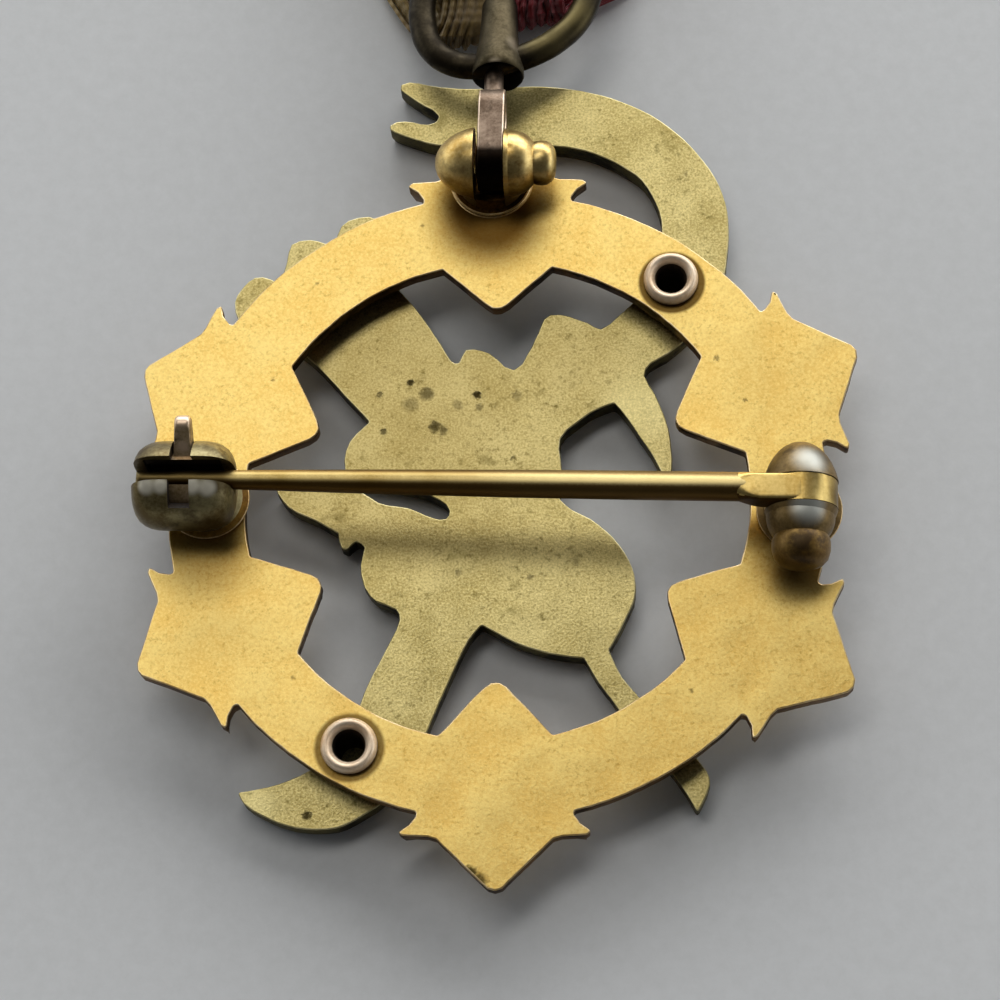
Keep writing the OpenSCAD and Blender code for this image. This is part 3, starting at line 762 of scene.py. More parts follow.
figureLook = {
    "front": {"upright": 0.85, "lean": 0.1, "lowY": -9.0, "lowLean": 0.1},
    "top": {
        "bright": "#dccb8c", "deep": "#a08f56", "mottle": 0.5, "grain": 10.0, "fineShare": 0.6, "rough": 0.37,
        "roughSpread": 0.08, "speck": 0.8, "speckSize": 4.0, "speckColour": "#6e6230",
        "stain": "#857739", "stainShare": 0.42, "stainDepth": 0.4, "stainSize": 0.8,
        "depth": 0.02, "relief": 0.8, "dents": 0.6, "dentDepth": 0.06,
        # halos: painted shade where the ring shades the figure
        "halos": [(-5.5, 4.5, 1.3, 3.0, 11.0, 0.3), (3.4, 7.0, 1.3, 0.8, 3.5, 0.22)],
        "haloColour": "#8a7038",
        # gleams: two painted highlights
        "gleams": [(5.96, 4.37, 1.3, 0.6, 2.2, 0.24), (-9.9, -13.2, 1.3, 0.3, 1.6, 0.28)],
        "gleamColour": "#fff2b0",
        "pits": [(-3.86, 5.63, 1.3, 0.2, 0.9), (-3.16, 5.12, 1.3, 0.42, 0.6), (-1.01, 5.07, 1.3, 0.23, 0.95),
                 (-4.95, 3.39, 1.3, 0.18, 0.7), (-2.77, 3.61, 1.3, 0.34, 0.75), (-2.4, 3.45, 1.3, 0.26, 0.6),
                 (-3.83, 4.62, 1.3, 0.5, 0.3), (-7.58, -13.32, 1.3, 0.24, 0.85), (-1.81, 4.61, 1.3, 0.3, 0.3),
                 (-0.9, 4.5, 1.3, 0.2, 0.4), (-5.2, 5.1, 1.3, 0.16, 0.5), (0.7, 5.0, 1.3, 0.3, 0.3),
                 (1.4, -3.1, 1.3, 0.2, 0.4), (3.3, -2.4, 1.3, 0.26, 0.35), (7.9, 15.4, 1.3, 0.16, 0.3),
                 (-1.6, -2.9, 1.3, 0.22, 0.35), (0.6, 2.2, 1.3, 0.14, 0.4)],
    },
    # wall: a much darker copy of the gold with near-black stains, painted shade on the walls
    "wall": {"bright": "#6f6530", "deep": "#2f290f", "rough": 0.5, "stain": "#120e04", "stainShare": 0.55,
             "stainDepth": 0.85, "stainSize": 0.8},
    # rim: paler on the bevel round the top, partly wear, partly painted highlight
    "rim": {"bright": "#e6d9a2", "deep": "#b8a86a", "rough": 0.36, "depth": 0.006},
}


def makeFigurePlate():
    figure = copyOf("figure_plate", "figurePlate", *finishes("figureGold", figureLook, "top", "wall", "rim"))
    shapePlate(figure, *figureZ, lambda co: nearRivet(co, 1.0), figureLook["front"])
    rimOff(figure, figureZ, lambda face: 0 if onTop(face) else 1)
    standsFor(figure, "figure_plate", "medal", "figure_gold")


makeRingPlate()
makeFigurePlate()
print("plates are done")


# hollow rivets with rolled rims

rivetLook = {
    "holeR": 0.6, "shankR": 0.92, "low": 0.32, "sides": 56,
    # radius and height above the ring, from the rim's foot over its crest down into the hole
    "roll": [(1.12, 0.0), (1.15, 0.05), (1.16, 0.18), (1.14, 0.31), (1.09, 0.42), (1.02, 0.5), (0.95, 0.54),
             (0.88, 0.52), (0.81, 0.46), (0.74, 0.36), (0.68, 0.22), (0.63, 0.04), (0.6, -0.18)],
    # painted shade in the throat: height above the ring, reach and strength
    "throat": (0.1, 0.56, 0.78, 0.94),
    "rim": {"bright": "#ffe9cc", "deep": "#e8c69e", "mottle": 0.9, "metal": 0.4, "depth": 0.008,
            "stain": "#9a6a44", "stainShare": 0.3, "stainDepth": 0.4, "stainSize": 1.4,
            # the shaded side darkens the rim's lower flank: painted shade
            "haloColour": "#20140a", "shadedSides": [((0, 0, -1), -3.1, -2.92, 0.8)], "sideShadeColour": "#6e4a20"},
    # bore: a dark finish inside the hole, painted shade
    "bore": {"bright": "#4a3a26", "deep": "#120c06", "rough": 0.6, "metal": 0.4},
}


def makeRivet(part):
    look = rivetLook
    name = "rivet" + part.title()
    hole, shank, low = look["holeR"], look["shankR"], look["low"]
    rows = [(hole, low), (shank, low), (shank, seatZ)]
    rows += [(radius, seatZ + high) for radius, high in look["roll"]]
    rows += [(hole, low + 0.6), (hole, low)]
    rivet = turned(name, rows, look["sides"], closed=True)
    inside = [face.index for face in rivet.data.polygons if face.center.xy.length < hole + 0.06]
    throat = (*rivetPlaces[part], seatZ + look["throat"][0], *look["throat"][1:])
    rim = metal(name + "Copper", dict(look["rim"], halos=[throat]))
    bore = metal(name + "Bore", look["bore"])
    setDown(rivet, moved(*rivetPlaces[part]))
    standsFor(rivet, "rivet_" + part, "medal", "rivet_metal", rim, bore)
    # the faces inside the hole take the dark bore finish: painted shade
    for index in inside:
        rivet.data.polygons[index].material_index = 1
    smooth(rivet, 50)


for part in rivetPlaces:
    makeRivet(part)
print("rivets are done")


# hinge, catch and pin

fittingLook = {
    "hinge": {
        "bright": "#8a7040", "deep": "#54401a", "mottle": 0.9, "metal": 0.6, "roughSpread": 0.14,
        "depth": 0.008, "relief": 0.4,
        "stain": "#3a2808", "stainShare": 0.4, "stainDepth": 0.7, "stainSize": 0.8,
        # gleams: painted highlights, pale silver spots on the ball above and below the pin's eye
        "gleams": [(12.9, 0.45, 5.8, 0.2, 1.0, 0.8), (12.75, -1.55, 5.9, 0.3, 0.95, 0.95)],
        "gleamColour": "#b4b4aa",
    },
    # bead: the pale edge round a foot, partly wear, partly painted highlight
    "bead": {"bright": "#f4d9a6", "deep": "#b89058", "rough": 0.36, "depth": 0.004},
    "knob": {"bright": "#9a7a3a", "deep": "#654816", "metal": 0.55, "rough": 0.4, "depth": 0.01,
             "stain": "#2c1b06", "stainShare": 0.5, "stainSize": 0.8},
    "catch": {
        "bright": "#a3976c", "deep": "#5e4d24", "mottle": 0.8, "metal": 0.65, "rough": 0.36,
        "roughSpread": 0.14, "relief": 0.5, "stain": "#3f3114", "stainShare": 0.5, "stainSize": 0.7,
        # halos: one darkens the shell low by the foot, painted shade; the other darkens the shell's left end
        "halos": [(-11.6, -1.9, 4.2, 0.5, 1.7, 0.8), (-14.2, 1.2, 5.0, 0.6, 1.6, 0.6)],
        "haloColour": "#4a3108",
        # gleams: painted highlights along the lower shell's lip
        "gleams": [(-14.1, -0.8, 6.3, 0.15, 0.5, 1.0), (-13.5, -0.8, 6.35, 0.15, 0.45, 1.0),
                   (-12.2, -0.8, 6.35, 0.15, 0.5, 1.0), (-11.6, -0.85, 6.25, 0.15, 0.5, 0.9)],
        "gleamColour": "#f0e8d2",
    },
    "foot": {"bright": "#a27a30", "deep": "#5e3f10", "metal": 0.7, "rough": 0.45, "depth": 0.01,
             "stain": "#471c08", "stainShare": 0.45, "stainSize": 0.8},
    # hollow: a near-black finish inside the bore, the lever's slot and the sleeve, painted shade
    "hollow": {"bright": "#2a1c0c", "deep": "#0c0703", "rough": 0.6, "metal": 0.3, "depth": 0.01},
    "sleeve": {"bright": "#cfb490", "deep": "#7d6430", "metal": 0.7, "rough": 0.36, "depth": 0.008,
               "stain": "#3a2c12", "stainShare": 0.46,
               # gleams: painted highlights on the lever's tip and base
               "gleams": [(-12.78, 2.2, 6.2, 0.2, 0.6, 0.9), (-12.75, 1.2, 5.6, 0.16, 0.42, 0.7)],
               "gleamColour": "#f0d2b4"},
    "pin": {
        "bright": "#ceb678", "deep": "#a88d50", "mottle": 0.5, "grain": 10.0, "rough": 0.46,
        "roughSpread": 0.1, "depth": 0.006, "relief": 0.35,
        "stain": "#8c6a2a", "stainShare": 0.36, "stainDepth": 0.5, "stainSize": 0.8,
        # the halo darkens the tip inside the catch, painted shade; the gleam is a painted highlight over the
        # middle of the stem; the shaded sides darken the stem's -Y side and its +Y edge, painted shade
        "halos": [(-13.4, 0.0, 4.9, 2.2, 3.0, 0.8)], "haloColour": "#5c4a28",
        "gleams": [(6.0, -0.35, 5.2, 2.0, 10.0, 0.6)], "gleamColour": "#ffe8a6",
        "shadedSides": [((-0.0229, -1, 0), 0.36, 0.55, 0.9), ((0.0229, 1, 0), -0.2, 0.06, 0.8)],
        "sideShadeColour": "#5c3d0e",
    },
    "eye": {
        "bright": "#dcc078", "deep": "#b08e48", "mottle": 0.6, "rough": 0.36, "depth": 0.008, "relief": 0.4,
        "stain": "#7c6128", "stainShare": 0.4, "stainDepth": 0.6, "stainSize": 0.8,
        # the halo darkens the eye's end away from the stem: painted shade
        "halos": [(14.1, -0.9, 5.0, 0.2, 1.15, 0.75)], "haloColour": "#5a4316",
    },
    # eyeSide: a dark brass for the eye's faces turned to -Y, painted shade
    "eyeSide": {"bright": "#7a5618", "deep": "#3c2606", "metal": 0.8, "rough": 0.45, "depth": 0.008},
    "hangerKnob": {"bright": "#ecd08a", "deep": "#b08a44", "mottle": 0.9, "rough": 0.33, "depth": 0.01,
                   "stain": "#6b4618", "stainShare": 0.45, "stainDepth": 0.75, "stainSize": 1.0,
                   # the halo darkens the knob on its -Y side, low down: painted shade
                   "halos": [(1.45, 13.6, 4.2, 0.3, 1.0, 0.8)], "haloColour": "#3c2408"},
}

# half outline of a knob with the shoulder that it grows from: radius and place along the axle
knobShape = {
    "shoulderEnd": 1.72, "hingeShift": -0.03,
    "hanger": [(0.3, 0.7), (1.39, 0.72), (1.41, 0.92), (1.37, 1.2), (1.27, 1.48), (1.12, 1.7), (0.96, 1.84),
               (0.9, 1.9), (0.93, 1.98), (0.96, 2.2), (0.93, 2.45), (0.81, 2.66), (0.58, 2.8), (0.28, 2.85)],
    "hinge": [(0.3, 0.7), (1.4, 0.72), (1.41, 0.95), (1.37, 1.2), (1.28, 1.45), (1.17, 1.62), (1.12, 1.7),
              (1.16, 1.78), (1.21, 1.97), (1.2, 2.3), (1.1, 2.64), (0.88, 2.88), (0.55, 3.0), (0.25, 3.03)],
}


def makeKnob(node, name, slot, rows, place, way, *materials):
    # the first material for the shoulder, the last one for the knob
    knob = turned(name, rows, 48)
    beyond = [face.center.z > knobShape["shoulderEnd"] for face in knob.data.polygons]
    setDown(knob, Matrix.Translation(place) @ Vector(way).to_track_quat("Z", "Y").to_matrix().to_4x4())
    smooth(knob, 40)
    standsFor(knob, node, "medal", slot, *materials)
    for face, last in zip(knob.data.polygons, beyond):
        face.material_index = len(materials) - 1 if last else 0


def makeHinge():
    ball = copyOf("hinge_ball", "hingeBall", metal("hingeMetal", fittingLook["hinge"]))
    roundEdges(ball, 0.05)
    smooth(ball, 40, weighted=True)
    joinTo(ball, footBead("hingeBallBead", hingePlace, metal("hingeBallEdge", fittingLook["bead"])))
    standsFor(ball, "hinge_ball", "medal", "fitting_metal")


pinShape = {
    "root": (10.85, -0.55, 5.46), "tip": (-14.5, 0.03, 4.88), "tipR": 0.29,
    "stem": [(0.55, -0.5), (0.6, -0.1), (0.6, 5.0), (0.575, 10.0), (0.5, 16.0), (0.41, 21.0), (0.37, 23.0)],
    "eyeR": 1.5, "eyeHole": 0.5, "eyeWide": 1.14, "neckCuts": 13, "rise": 0.0229,
    "neckFrom": 9.6, "neckTo": 12.5, "neckR": 0.575, "neckWide": 0.57, "neckTall": 0.62, "neckZ": 5.48,
}


def makePin():
    shape = pinShape
    root, tip, tipR = Vector(shape["root"]), Vector(shape["tip"]), shape["tipR"]
    long = (tip - root).length
    turns = [math.radians(degrees) for degrees in (20, 45, 70, 86)]
    rows = shape["stem"] + [(tipR, long - 0.15)]
    rows += [(tipR * math.cos(turn), long + tipR * math.sin(turn)) for turn in turns]
    pin = turned("pinStem", rows, 40)
    setDown(pin, Matrix.Translation(root) @ (tip - root).to_track_quat("Z", "Y").to_matrix().to_4x4())
    materials = [metal("pinBrass", fittingLook["pin"]), metal("pinEye", fittingLook["eye"]),
                 metal("pinEyeSide", fittingLook["eyeSide"])]
    eye = makeEye(shape)
    for piece in (pin, eye):
        dress(piece, *materials)
    # the eye's faces turned to -Y take the darker side finish: painted shade
    for face in eye.data.polygons:
        face.material_index = 2 if face.normal.y < -0.72 else 1
    joinTo(pin, eye)
    smooth(pin, 40, weighted=True)
    standsFor(pin, "pin_stem", "pin", "pin_brass")


def makeEye(shape):
    # a flat eye, and a neck that goes over from the round stem to the eye's width
    across = Matrix.Translation(hingePlace) @ Matrix.Rotation(math.radians(90), 4, "X")
    eye = cylinder(80, shape["eyeR"], shape["eyeWide"], across)
    neck = cylinder(48, 1, 1)
    edit(neck, "EDGE")
    choose(neck, "edges", lambda edge: abs(edge.verts[0].co.z - edge.verts[1].co.z) > 0.5)
    bpy.ops.mesh.subdivide(number_cuts=shape["neckCuts"])
    take(neck)
    root, tip = Vector(shape["root"]), Vector(shape["tip"])
    slope = (tip.y - root.y) / (tip.x - root.x)
    for vertex in neck.data.vertices:
        share = vertex.co.z + 0.5
        x = shape["neckFrom"] + (shape["neckTo"] - shape["neckFrom"]) * share
        blend = ease((share - 0.08) / 0.42)
        # from a circle to a rounded square
        square = 2 / (2 + 7 * blend)
        wideways, up = (math.copysign(abs(far) ** square, far) for far in vertex.co.xy)
        y, z = root.y + (x - root.x) * slope, root.z + (x - root.x) * shape["rise"]
        wide = shape["neckR"] + (shape["neckWide"] - shape["neckR"]) * blend
        tall = shape["neckR"] + (shape["neckTall"] - shape["neckR"]) * blend
        vertex.co = (x, y + (hingePlace.y - y) * blend + wideways * wide,
                     z + (shape["neckZ"] - z) * blend + up * tall)
    edit(neck, action="SELECT")
    bpy.ops.mesh.normals_make_consistent(inside=False)
    combine(eye, "UNION", neck)
    combine(eye, "DIFFERENCE", cylinder(48, shape["eyeHole"], 4, across))
    roundEdges(eye, 0.07)
    return eye


catchShape = {
    "middle": Vector((-12.8, -0.2, 4.6)), "radius": 1.86, "boreR": 1.42, "boreHalf": 1.6,
    "profile": [(2.1, 0.3), (2.09, 0.42), (2.05, 0.57), (1.96, 0.7), (1.82, 0.81), (1.6, 0.9), (1.35, 0.96),
                (1.05, 0.99), (0.7, 1.0)],
    "mouthY": -0.02, "mouthWide": 1.06, "mouthFloor": 4.4, "footTop": 3.15, "footX": 0.7,
    "foot": [(1.3, 0.0), (1.72, 0.0), (1.76, 0.05), (1.75, 0.18), (1.7, 0.22), (1.5, 0.25), (1.3, 0.5),
             (1.2, 1.0), (1.1, 1.3)],
    "leverX": -12.78, "slotWide": 0.88, "slotFrom": 12, "slotTo": 138, "slotReach": 2.95,
}


def makeCatch():
    shape = catchShape
    middle, half = shape["middle"], shape["profile"]
    footPlace = Vector((middle.x + shape["footX"], middle.y, seatZ))
    lying = Matrix(((0, 0, 1), (1, 0, 0), (0, 1, 0))).to_4x4()
    rows = [(shape["radius"] * share, -far) for far, share in half]
    rows += [(shape["radius"] * share, far) for far, share in reversed(half)]
    body = turned("catchHousing", rows, 72)
    setDown(body, Matrix.Translation(middle) @ lying)
    foot = turned("catchFoot", shape["foot"], 64)
    setDown(foot, Matrix.Translation(footPlace))
    combine(body, "UNION", foot)
    bore = cylinder(64, shape["boreR"], 2 * shape["boreHalf"], Matrix.Translation(middle) @ lying)
    take()
    bpy.ops.mesh.primitive_cube_add(size=1, scale=(6, shape["mouthWide"], 4),
                                    location=(middle.x, shape["mouthY"], shape["mouthFloor"] + 2))
    mouth = bpy.context.object
    slot = cylinder(72, shape["slotReach"], shape["slotWide"])
    for angle, side in ((shape["slotFrom"], 1), (shape["slotTo"], -1)):
        edit(slot, action="SELECT")
        way = math.radians(angle)
        bpy.ops.mesh.bisect(plane_co=(0, 0, 0), plane_no=(-math.sin(way) * side, math.cos(way) * side, 0),
                            use_fill=True, clear_inner=True)
    setDown(slot, moved(shape["leverX"], middle.y, middle.z) @ lying)
    combine(body, "DIFFERENCE", bore, mouth, slot)
    edit(body, action="SELECT")
    bpy.ops.mesh.bisect(plane_co=(0, 0, seatZ), plane_no=(0, 0, 1), use_fill=True, clear_inner=True)
    bpy.ops.mesh.select_all(action="SELECT")
    bpy.ops.mesh.remove_doubles(threshold=weld)
    bpy.ops.mesh.dissolve_degenerate(threshold=weld)
    bpy.ops.mesh.normals_make_consistent(inside=False)
    roundEdges(body, 0.05, 2, 35)
    body.data.validate()
    smooth(body, 40, weighted=True)
    dress(body, *finishes("catch", dict(fittingLook, metal=fittingLook["catch"]), "metal", "hollow", "foot"))
    # faces in the bore and the lever's slot take the near-black finish: painted shade
    for face in body.data.polygons:
        out = Vector((face.center.y - middle.y, face.center.z - middle.z))
        inBore = (out.length < shape["boreR"] + 0.08
                  and abs(face.center.x - middle.x) < shape["boreHalf"] + 0.05)
        inSlot = (abs(face.center.x - shape["leverX"]) < shape["slotWide"] / 2 + 0.02
                  and face.normal.yz.dot(out.normalized()) < 0.7)
        face.material_index = 2 if face.center.z < shape["footTop"] else 1 if inSlot or inBore else 0
    joinTo(body, footBead("catchBead", footPlace, metal("catchEdge", fittingLook["bead"])))
    standsFor(body, "catch_housing", "medal", "fitting_metal")


def makeSleeve():
    # the lever's edges are well rounded, and the sleeve inside the shell gets a near-black finish: painted
    # shade
    sleeve = copyOf("catch_rotor", "catchSleeve", *finishes("sleeve", fittingLook, "sleeve", "hollow"))
    middle, leverX = catchShape["middle"], catchShape["leverX"]
    away = lambda co: (co.yz - middle.yz).length
    edit(sleeve, "EDGE")
    choose(sleeve, "edges", lambda edge: all(away(v.co) > 1.6 for v in edge.verts)
           and abs(edge.verts[0].co.x - edge.verts[1].co.x) < 0.01)
    bpy.ops.mesh.bevel(offset=0.2, segments=4, affect="EDGES")
    take(sleeve)
    for face in sleeve.data.polygons:
        face.material_index = 1 if away(face.center) < 1.25 else 0
    for vertex in sleeve.data.vertices:
        if away(vertex.co) > 1.6:
            vertex.co.x = leverX + (vertex.co.x - leverX) * 0.9
    smooth(sleeve, 50, weighted=True)
    standsFor(sleeve, "catch_rotor", "catch_sleeve", "sleeve_metal")


makeHinge()
makeKnob("hinge_rivet", "hingeRivet", "knob_metal", knobShape["hinge"],
         hingePlace + Vector((knobShape["hingeShift"], 0, 0)), (0, -1, 0),
         bpy.data.materials["hingeMetal"], metal("hingeKnob", fittingLook["knob"]))
makePin()
makeCatch()
makeSleeve()
makeKnob("bail_rivet", "bailRivet", "ring_gold", knobShape["hanger"], hangerPlace, (1, 0, 0),
         metal("hangerKnob", fittingLook["hangerKnob"]))
print("hinge, catch and pin are done")


# swivel: strap loop, collar and wire bow

swivelLook = {
    "slope": 9.4, "wireR": 0.6, "flat": 0.88,
    "bow": [(0.0, 5.35), (-0.8, 5.2), (-2.0, 5.4), (-2.9, 6.15), (-3.32, 7.2), (-3.42, 9.2), (-3.2, 11.6),
            (-2.1, 13.7), (0.2, 14.6), (2.6, 13.8), (3.9, 11.8), (4.0, 9.7), (3.6, 8.05), (2.8, 6.85),
            (1.35, 5.8)],
    "collar": [(0.45, 5.9), (0.9, 5.5), (1.02, 4.9), (1.06, 4.64), (1.1, 4.62), (1.15, 4.7), (1.13, 5.05),
               (1.06, 5.45), (0.96, 5.9), (0.88, 6.4), (0.82, 7.2), (0.78, 8.4), (0.7, 8.6), (0.5, 8.7),
               (0.25, 8.7)],
    "bowShift": (0.22, -0.08), "mouthEnd": 5.92, "loopShift": (0.07, 0),
    "loop": {"bright": "#93806e", "deep": "#5a493b", "mottle": 0.8, "depth": 0.014,
             "stain": "#2a1f16", "stainShare": 0.42,
             # the shaded side makes the strap near-black on the -Y side of the axle: painted shade
             "shadedSides": [((0, -1, 0), -14.85, -14.45, 0.97)], "sideShadeColour": "#0d0805"},
    # loopEdge: a paler edge, partly wear and partly painted highlight, near-black past the axle like the
    # strap: painted shade
    "loopEdge": {"bright": "#ecd6be", "deep": "#b89c7c", "rough": 0.44, "depth": 0.006,
                 "shadedSides": [((0, -1, 0), -14.85, -14.45, 0.97)], "sideShadeColour": "#0d0805"},
    # mouth: near-black inside the collar's mouth, painted shade
    "mouth": {"bright": "#161009", "deep": "#060402", "rough": 0.6, "metal": 0.2},
    # wire: dark patinated brass, darkened further as painted shade; the gleams are painted highlights on the
    # right arm
    "wire": {"bright": "#3e372a", "deep": "#1f1a12", "mottle": 0.6, "rough": 0.4, "depth": 0.01,
             "relief": 0.5, "stain": "#17120c", "stainShare": 0.5, "stainDepth": 0.75, "stainSize": 0.6,
             "gleams": [(1.7, 20.9, 4.0, 0.4, 1.5, 0.6), (2.8, 22.1, 3.9, 0.4, 1.5, 0.65),
                        (3.3, 24.0, 3.5, 0.5, 1.5, 0.5)],
             "gleamColour": "#675c3a"},
    # barrel: the shaded side makes its lower part near-black, painted shade; the gleams are painted
    # highlights
    "barrel": {"bright": "#5c523e", "deep": "#352e1d", "rough": 0.48, "depth": 0.01,
               "shadedSides": [((0, 0, -1), -3.95, -3.3, 0.95)], "sideShadeColour": "#120d07",
               "stain": "#2c2616", "stainShare": 0.45, "stainDepth": 0.6, "stainSize": 0.8,
               "gleams": [(0.55, 20.3, 4.2, 0.1, 0.6, 0.4), (-0.35, 19.05, 5.1, 0.1, 0.5, 0.6)],
               "gleamColour": "#a89a84"},
}


def makeBow():
    take()
    data = bpy.data.curves.new("swivelBow", "CURVE")
    data.dimensions = "3D"
    spline = data.splines.new("BEZIER")
    spline.bezier_points.add(len(swivelLook["bow"]) - 1)
    for point, place in zip(spline.bezier_points, swivelLook["bow"]):
        point.co = (*place, 0)
        point.handle_left_type = point.handle_right_type = "AUTO"
    spline.use_cyclic_u = True
    spline.resolution_u = 8
    data.bevel_depth = swivelLook["wireR"]
    data.bevel_resolution = 6
    bow = bpy.data.objects.new("swivelBow", data)
    bpy.context.collection.objects.link(bow)
    take(bow)
    bpy.ops.object.convert(target="MESH")
    bow = bpy.context.object
    edit(bow, "VERT", "SELECT")
    bpy.ops.mesh.remove_doubles(threshold=weld)
    bpy.ops.transform.resize(value=(1, 1, swivelLook["flat"]), center_override=(0, 0, 0))
    bpy.ops.mesh.normals_make_consistent(inside=False)
    take(bow)
    collar = turned("swivelCollar", swivelLook["collar"], 56)
    collar.data.transform(Matrix.Rotation(math.radians(-90), 4, "X"))
    dress(bow, metal("bowWire", swivelLook["wire"]))
    dress(collar, *finishes("bow", swivelLook, "barrel", "mouth"))
    # the faces inside the collar's mouth take the near-black finish: painted shade
    for face in collar.data.polygons:
        if face.center.y < swivelLook["mouthEnd"] and face.center.xz.dot(face.normal.xz) < 0:
            face.material_index = 1
    joinTo(bow, collar)
    slope = Matrix.Rotation(math.radians(-swivelLook["slope"]), 4, "X")
    setDown(bow, Matrix.Translation(hangerPlace) @ slope @ moved(*swivelLook["bowShift"]))
    smooth(bow, 50)
    standsFor(bow, "swivel_bow", "medal", "bow_metal")


def makeLoop():
    loop = copyOf("swivel_loop", "swivelLoop", metal("loopMetal", swivelLook["loop"]),
                  metal("loopEdgeMetal", swivelLook["loopEdge"]))
    roundEdges(loop, 0.19, material=1)
    smooth(loop, 40, weighted=True)
    setDown(loop, moved(*swivelLook["loopShift"]))
    standsFor(loop, "swivel_loop", "medal", "loop_metal")


makeBow()
makeLoop()
print("swivel is done")


# ribbon: one thin strip, doubled through the bow and drawn into pleats there

ribbonLook = {
    "width": 24.0, "endY": 50.0, "foldY": 22.65, "lowerZ": 0.5, "upperZ": 1.66,
    "lift": 1.86, "liftFrom": 23.4, "liftTo": 26.8, "restFrom": 29.6, "restTo": 36.5,
    "skew": 1.1, "skewLen": 9.0, "thick": 0.16,
    "pleats": 13, "deepest": 0.36, "across": 208, "along": 132,
    "lowerSpread": [(21.5, -3.2, 2.3), (23, -4.5, 3.8), (23.6, -4.9, 5), (24.6, -5.5, 5.8), (28, -7.1, 7.4),
                    (32, -8.9, 9), (37, -10.6, 10.5), (43, -11.8, 11.8), (48, -12, 12)],
    "upperSpread": [(21.5, -3.2, 2.3), (23, -2.9, 2.5), (24.5, -2.7, 2.6), (28, -2.5, 2.5), (29.6, -3.2, 3.4),
                    (32, -6.6, 6.6), (37, -10.6, 10.5), (43, -11.8, 11.8), (48, -12, 12)],
    "bulge": (-1.65, 22.6, 1.3), "ribEvery": 0.42, "threadEvery": 0.16,
    # unsteadiness: how much, how fine across and along, and where in the noise
    "drift": (1.1, 3.4, 0.1, 3.0), "uneven": (0.9, 8, 0.16, 8.0), "soft": (0.2, 4, 0.2, 1.0),
    # deep, bright and shaded colour, the last one painted shade in and near the bow
    "gold": ("#b3964f", "#d6bd78", "#6e5528"), "red": ("#8a0a1c", "#b4122c", "#6a040c"),
    "weft": "#2a1205", "bowShadeTo": (22.5, 28.0),
}


def wander(kind, u, y, shift=0.0):
    amount, across, lengthwise, seed = ribbonLook[kind]
    return amount * noise.noise(Vector((u * across, y * lengthwise, seed + shift)))


def along(table, y, column):
    # value of a table's column at a place along the ribbon
    rows = ribbonLook[table]
    for before, after in zip(rows, rows[1:]):
        if y <= after[0]:
            share = max(0.0, (y - before[0]) / (after[0] - before[0]))
            return before[column] + (after[column] - before[column]) * share
    return rows[-1][column]


def ribbonPath():
    # middle line from the lower end round the fold to the upper one: place along, height, normal and
    # how far it is on the upper side
    look = ribbonLook
    half = (look["upperZ"] - look["lowerZ"]) / 2
    straight = look["endY"] - look["foldY"]
    total = 2 * straight + math.pi * half
    rows = []
    for i in range(look["along"] + 1):
        run = total * i / look["along"]
        if run < straight:
            rows.append((look["endY"] - run, look["lowerZ"], (0, -1), 0.0))
        elif run < straight + math.pi * half:
            turn = (run - straight) / half
            rows.append((look["foldY"] - half * math.sin(turn), look["lowerZ"] + half * (1 - math.cos(turn)),
                         (-math.sin(turn), -math.cos(turn)), turn / math.pi))
        else:
            y = look["foldY"] + run - straight - math.pi * half
            rise = look["lift"] * (ease((y - look["liftFrom"]) / (look["liftTo"] - look["liftFrom"]))
                                   - ease((y - look["restFrom"]) / (look["restTo"] - look["restFrom"])))
            rows.append((y, look["upperZ"] + rise, (0, 1), 1.0))
    return rows, total


def pleatDepth(width, flat, count):
    # height of a wave that takes up the flat width: longer lines for deeper waves
    low, high = 0.0, ribbonLook["deepest"]
    steps = 24
    for turn in range(18):
        middle = (low + high) / 2
        slope = 2 * math.pi * count * middle / width
        longer = sum(math.sqrt(1 + (slope * math.cos(2 * math.pi * i / steps)) ** 2) for i in range(steps))
        if longer / steps * width < flat:
            low = middle
        else:
            high = middle
    return low


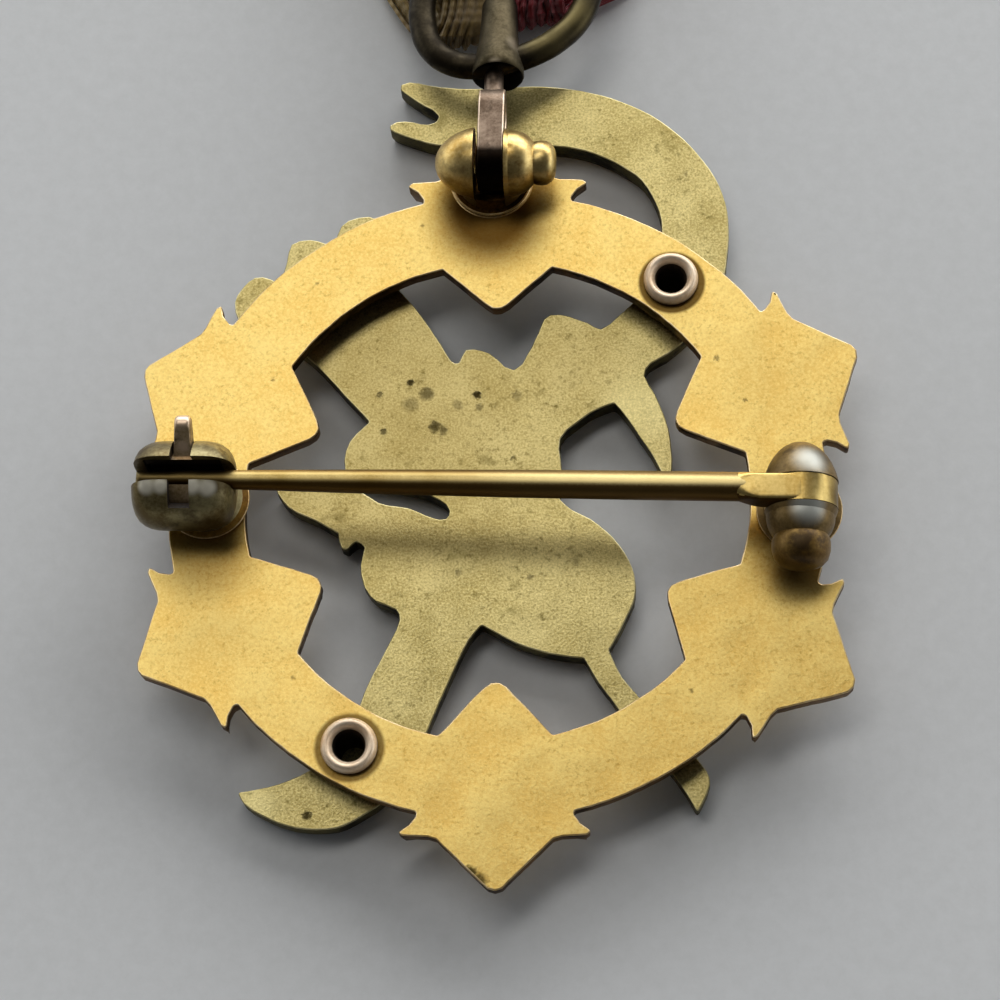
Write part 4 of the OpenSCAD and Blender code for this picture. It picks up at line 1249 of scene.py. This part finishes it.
def makeRibbon():
    look = ribbonLook
    take()
    bpy.ops.mesh.primitive_grid_add(x_subdivisions=look["across"], y_subdivisions=look["along"], size=1)
    ribbon = bpy.context.object
    ribbon.name = "silkRibbon"
    path, total = ribbonPath()
    columns = look["across"] + 1
    for vertex in ribbon.data.vertices:
        j, i = vertex.index % columns, vertex.index // columns
        y, z, normal, upper = path[i]
        u = j / look["across"]
        left, right = (along("lowerSpread", y, side) * (1 - upper) + along("upperSpread", y, side) * upper
                       for side in (1, 2))
        width = right - left
        depth = pleatDepth(width, look["width"], look["pleats"]) if j == 0 else depth
        phase = 2 * math.pi * (look["pleats"] * u + wander("drift", u, y, 2 * upper))
        uneven = max(0.35, min(1.15, 0.8 + wander("uneven", u, y)))
        x, bulgeX, bulgeY, reach = left + width * u, *look["bulge"]
        bulge = math.exp(-((x - bulgeX) / reach) ** 2 - ((y - bulgeY) / (1.6 * reach)) ** 2) * upper
        wave = depth * math.sin(phase) * uneven * (1 - 0.9 * bulge)
        soft = wander("soft", u, y, 4 * upper) + 0.3 * bulge
        skew = look["skew"] * ease(u * 1.4 - 0.3) * (1 - ease((y - look["foldY"]) / look["skewLen"]))
        lift = wave + soft * (1 - ease((y - 40) / 12) * 0.5)
        height = max(z + normal[1] * lift, look["thick"] / 2 + 0.02)
        vertex.co = (x, y + skew + normal[0] * lift * 0.5, height)
    ribbon.data.update()
    modifier(ribbon, "SOLIDIFY", thickness=look["thick"], offset=0)
    smooth(ribbon, 60)
    shader = Shader("ribbonSilk")
    uv = shader.node("ShaderNodeUVMap", {"uv_map": ribbon.data.uv_layers[0].name})
    across, lengthwise = shader.axes(uv)[:2]
    ribs = (lengthwise * (2 * math.pi * total / look["ribEvery"])).sine()
    threads = (across * (2 * math.pi * look["width"] / look["threadEvery"])).sine()
    place = shader.place()
    shade = shader.cloud(place, 1.2, 4.0)
    # painted shade on the ribbon in and near the bow, a little uneven
    bowShade = (1.0 - shader.axes(place)[1].step(*look["bowShadeTo"])) * (shade.step(0.2, 0.75) * 0.35 + 0.65)
    gold, red = (shader.blend(bowShade, shader.blend(shade.step(0.3, 0.7), deep, bright), shadedColour)
                 for deep, bright, shadedColour in (look["gold"], look["red"]))
    colour = shader.blend((across + (shade - 0.5) * 0.004).step(0.497, 0.503), gold, red)
    weave = ribs * 0.6 + threads * 0.4
    colour = shader.blend((weave * -0.5 + 0.5) * 0.22, colour, look["weft"])
    shader.set(colour=colour, rough=0.55, sheen=0.12, sheenRough=0.4, normal=shader.relief(weave, 0.04, 0.8))
    standsFor(ribbon, "ribbon", "medal", "ribbon_silk", shader.material)
    total * mm


makeRibbon()
print("ribbon is done")
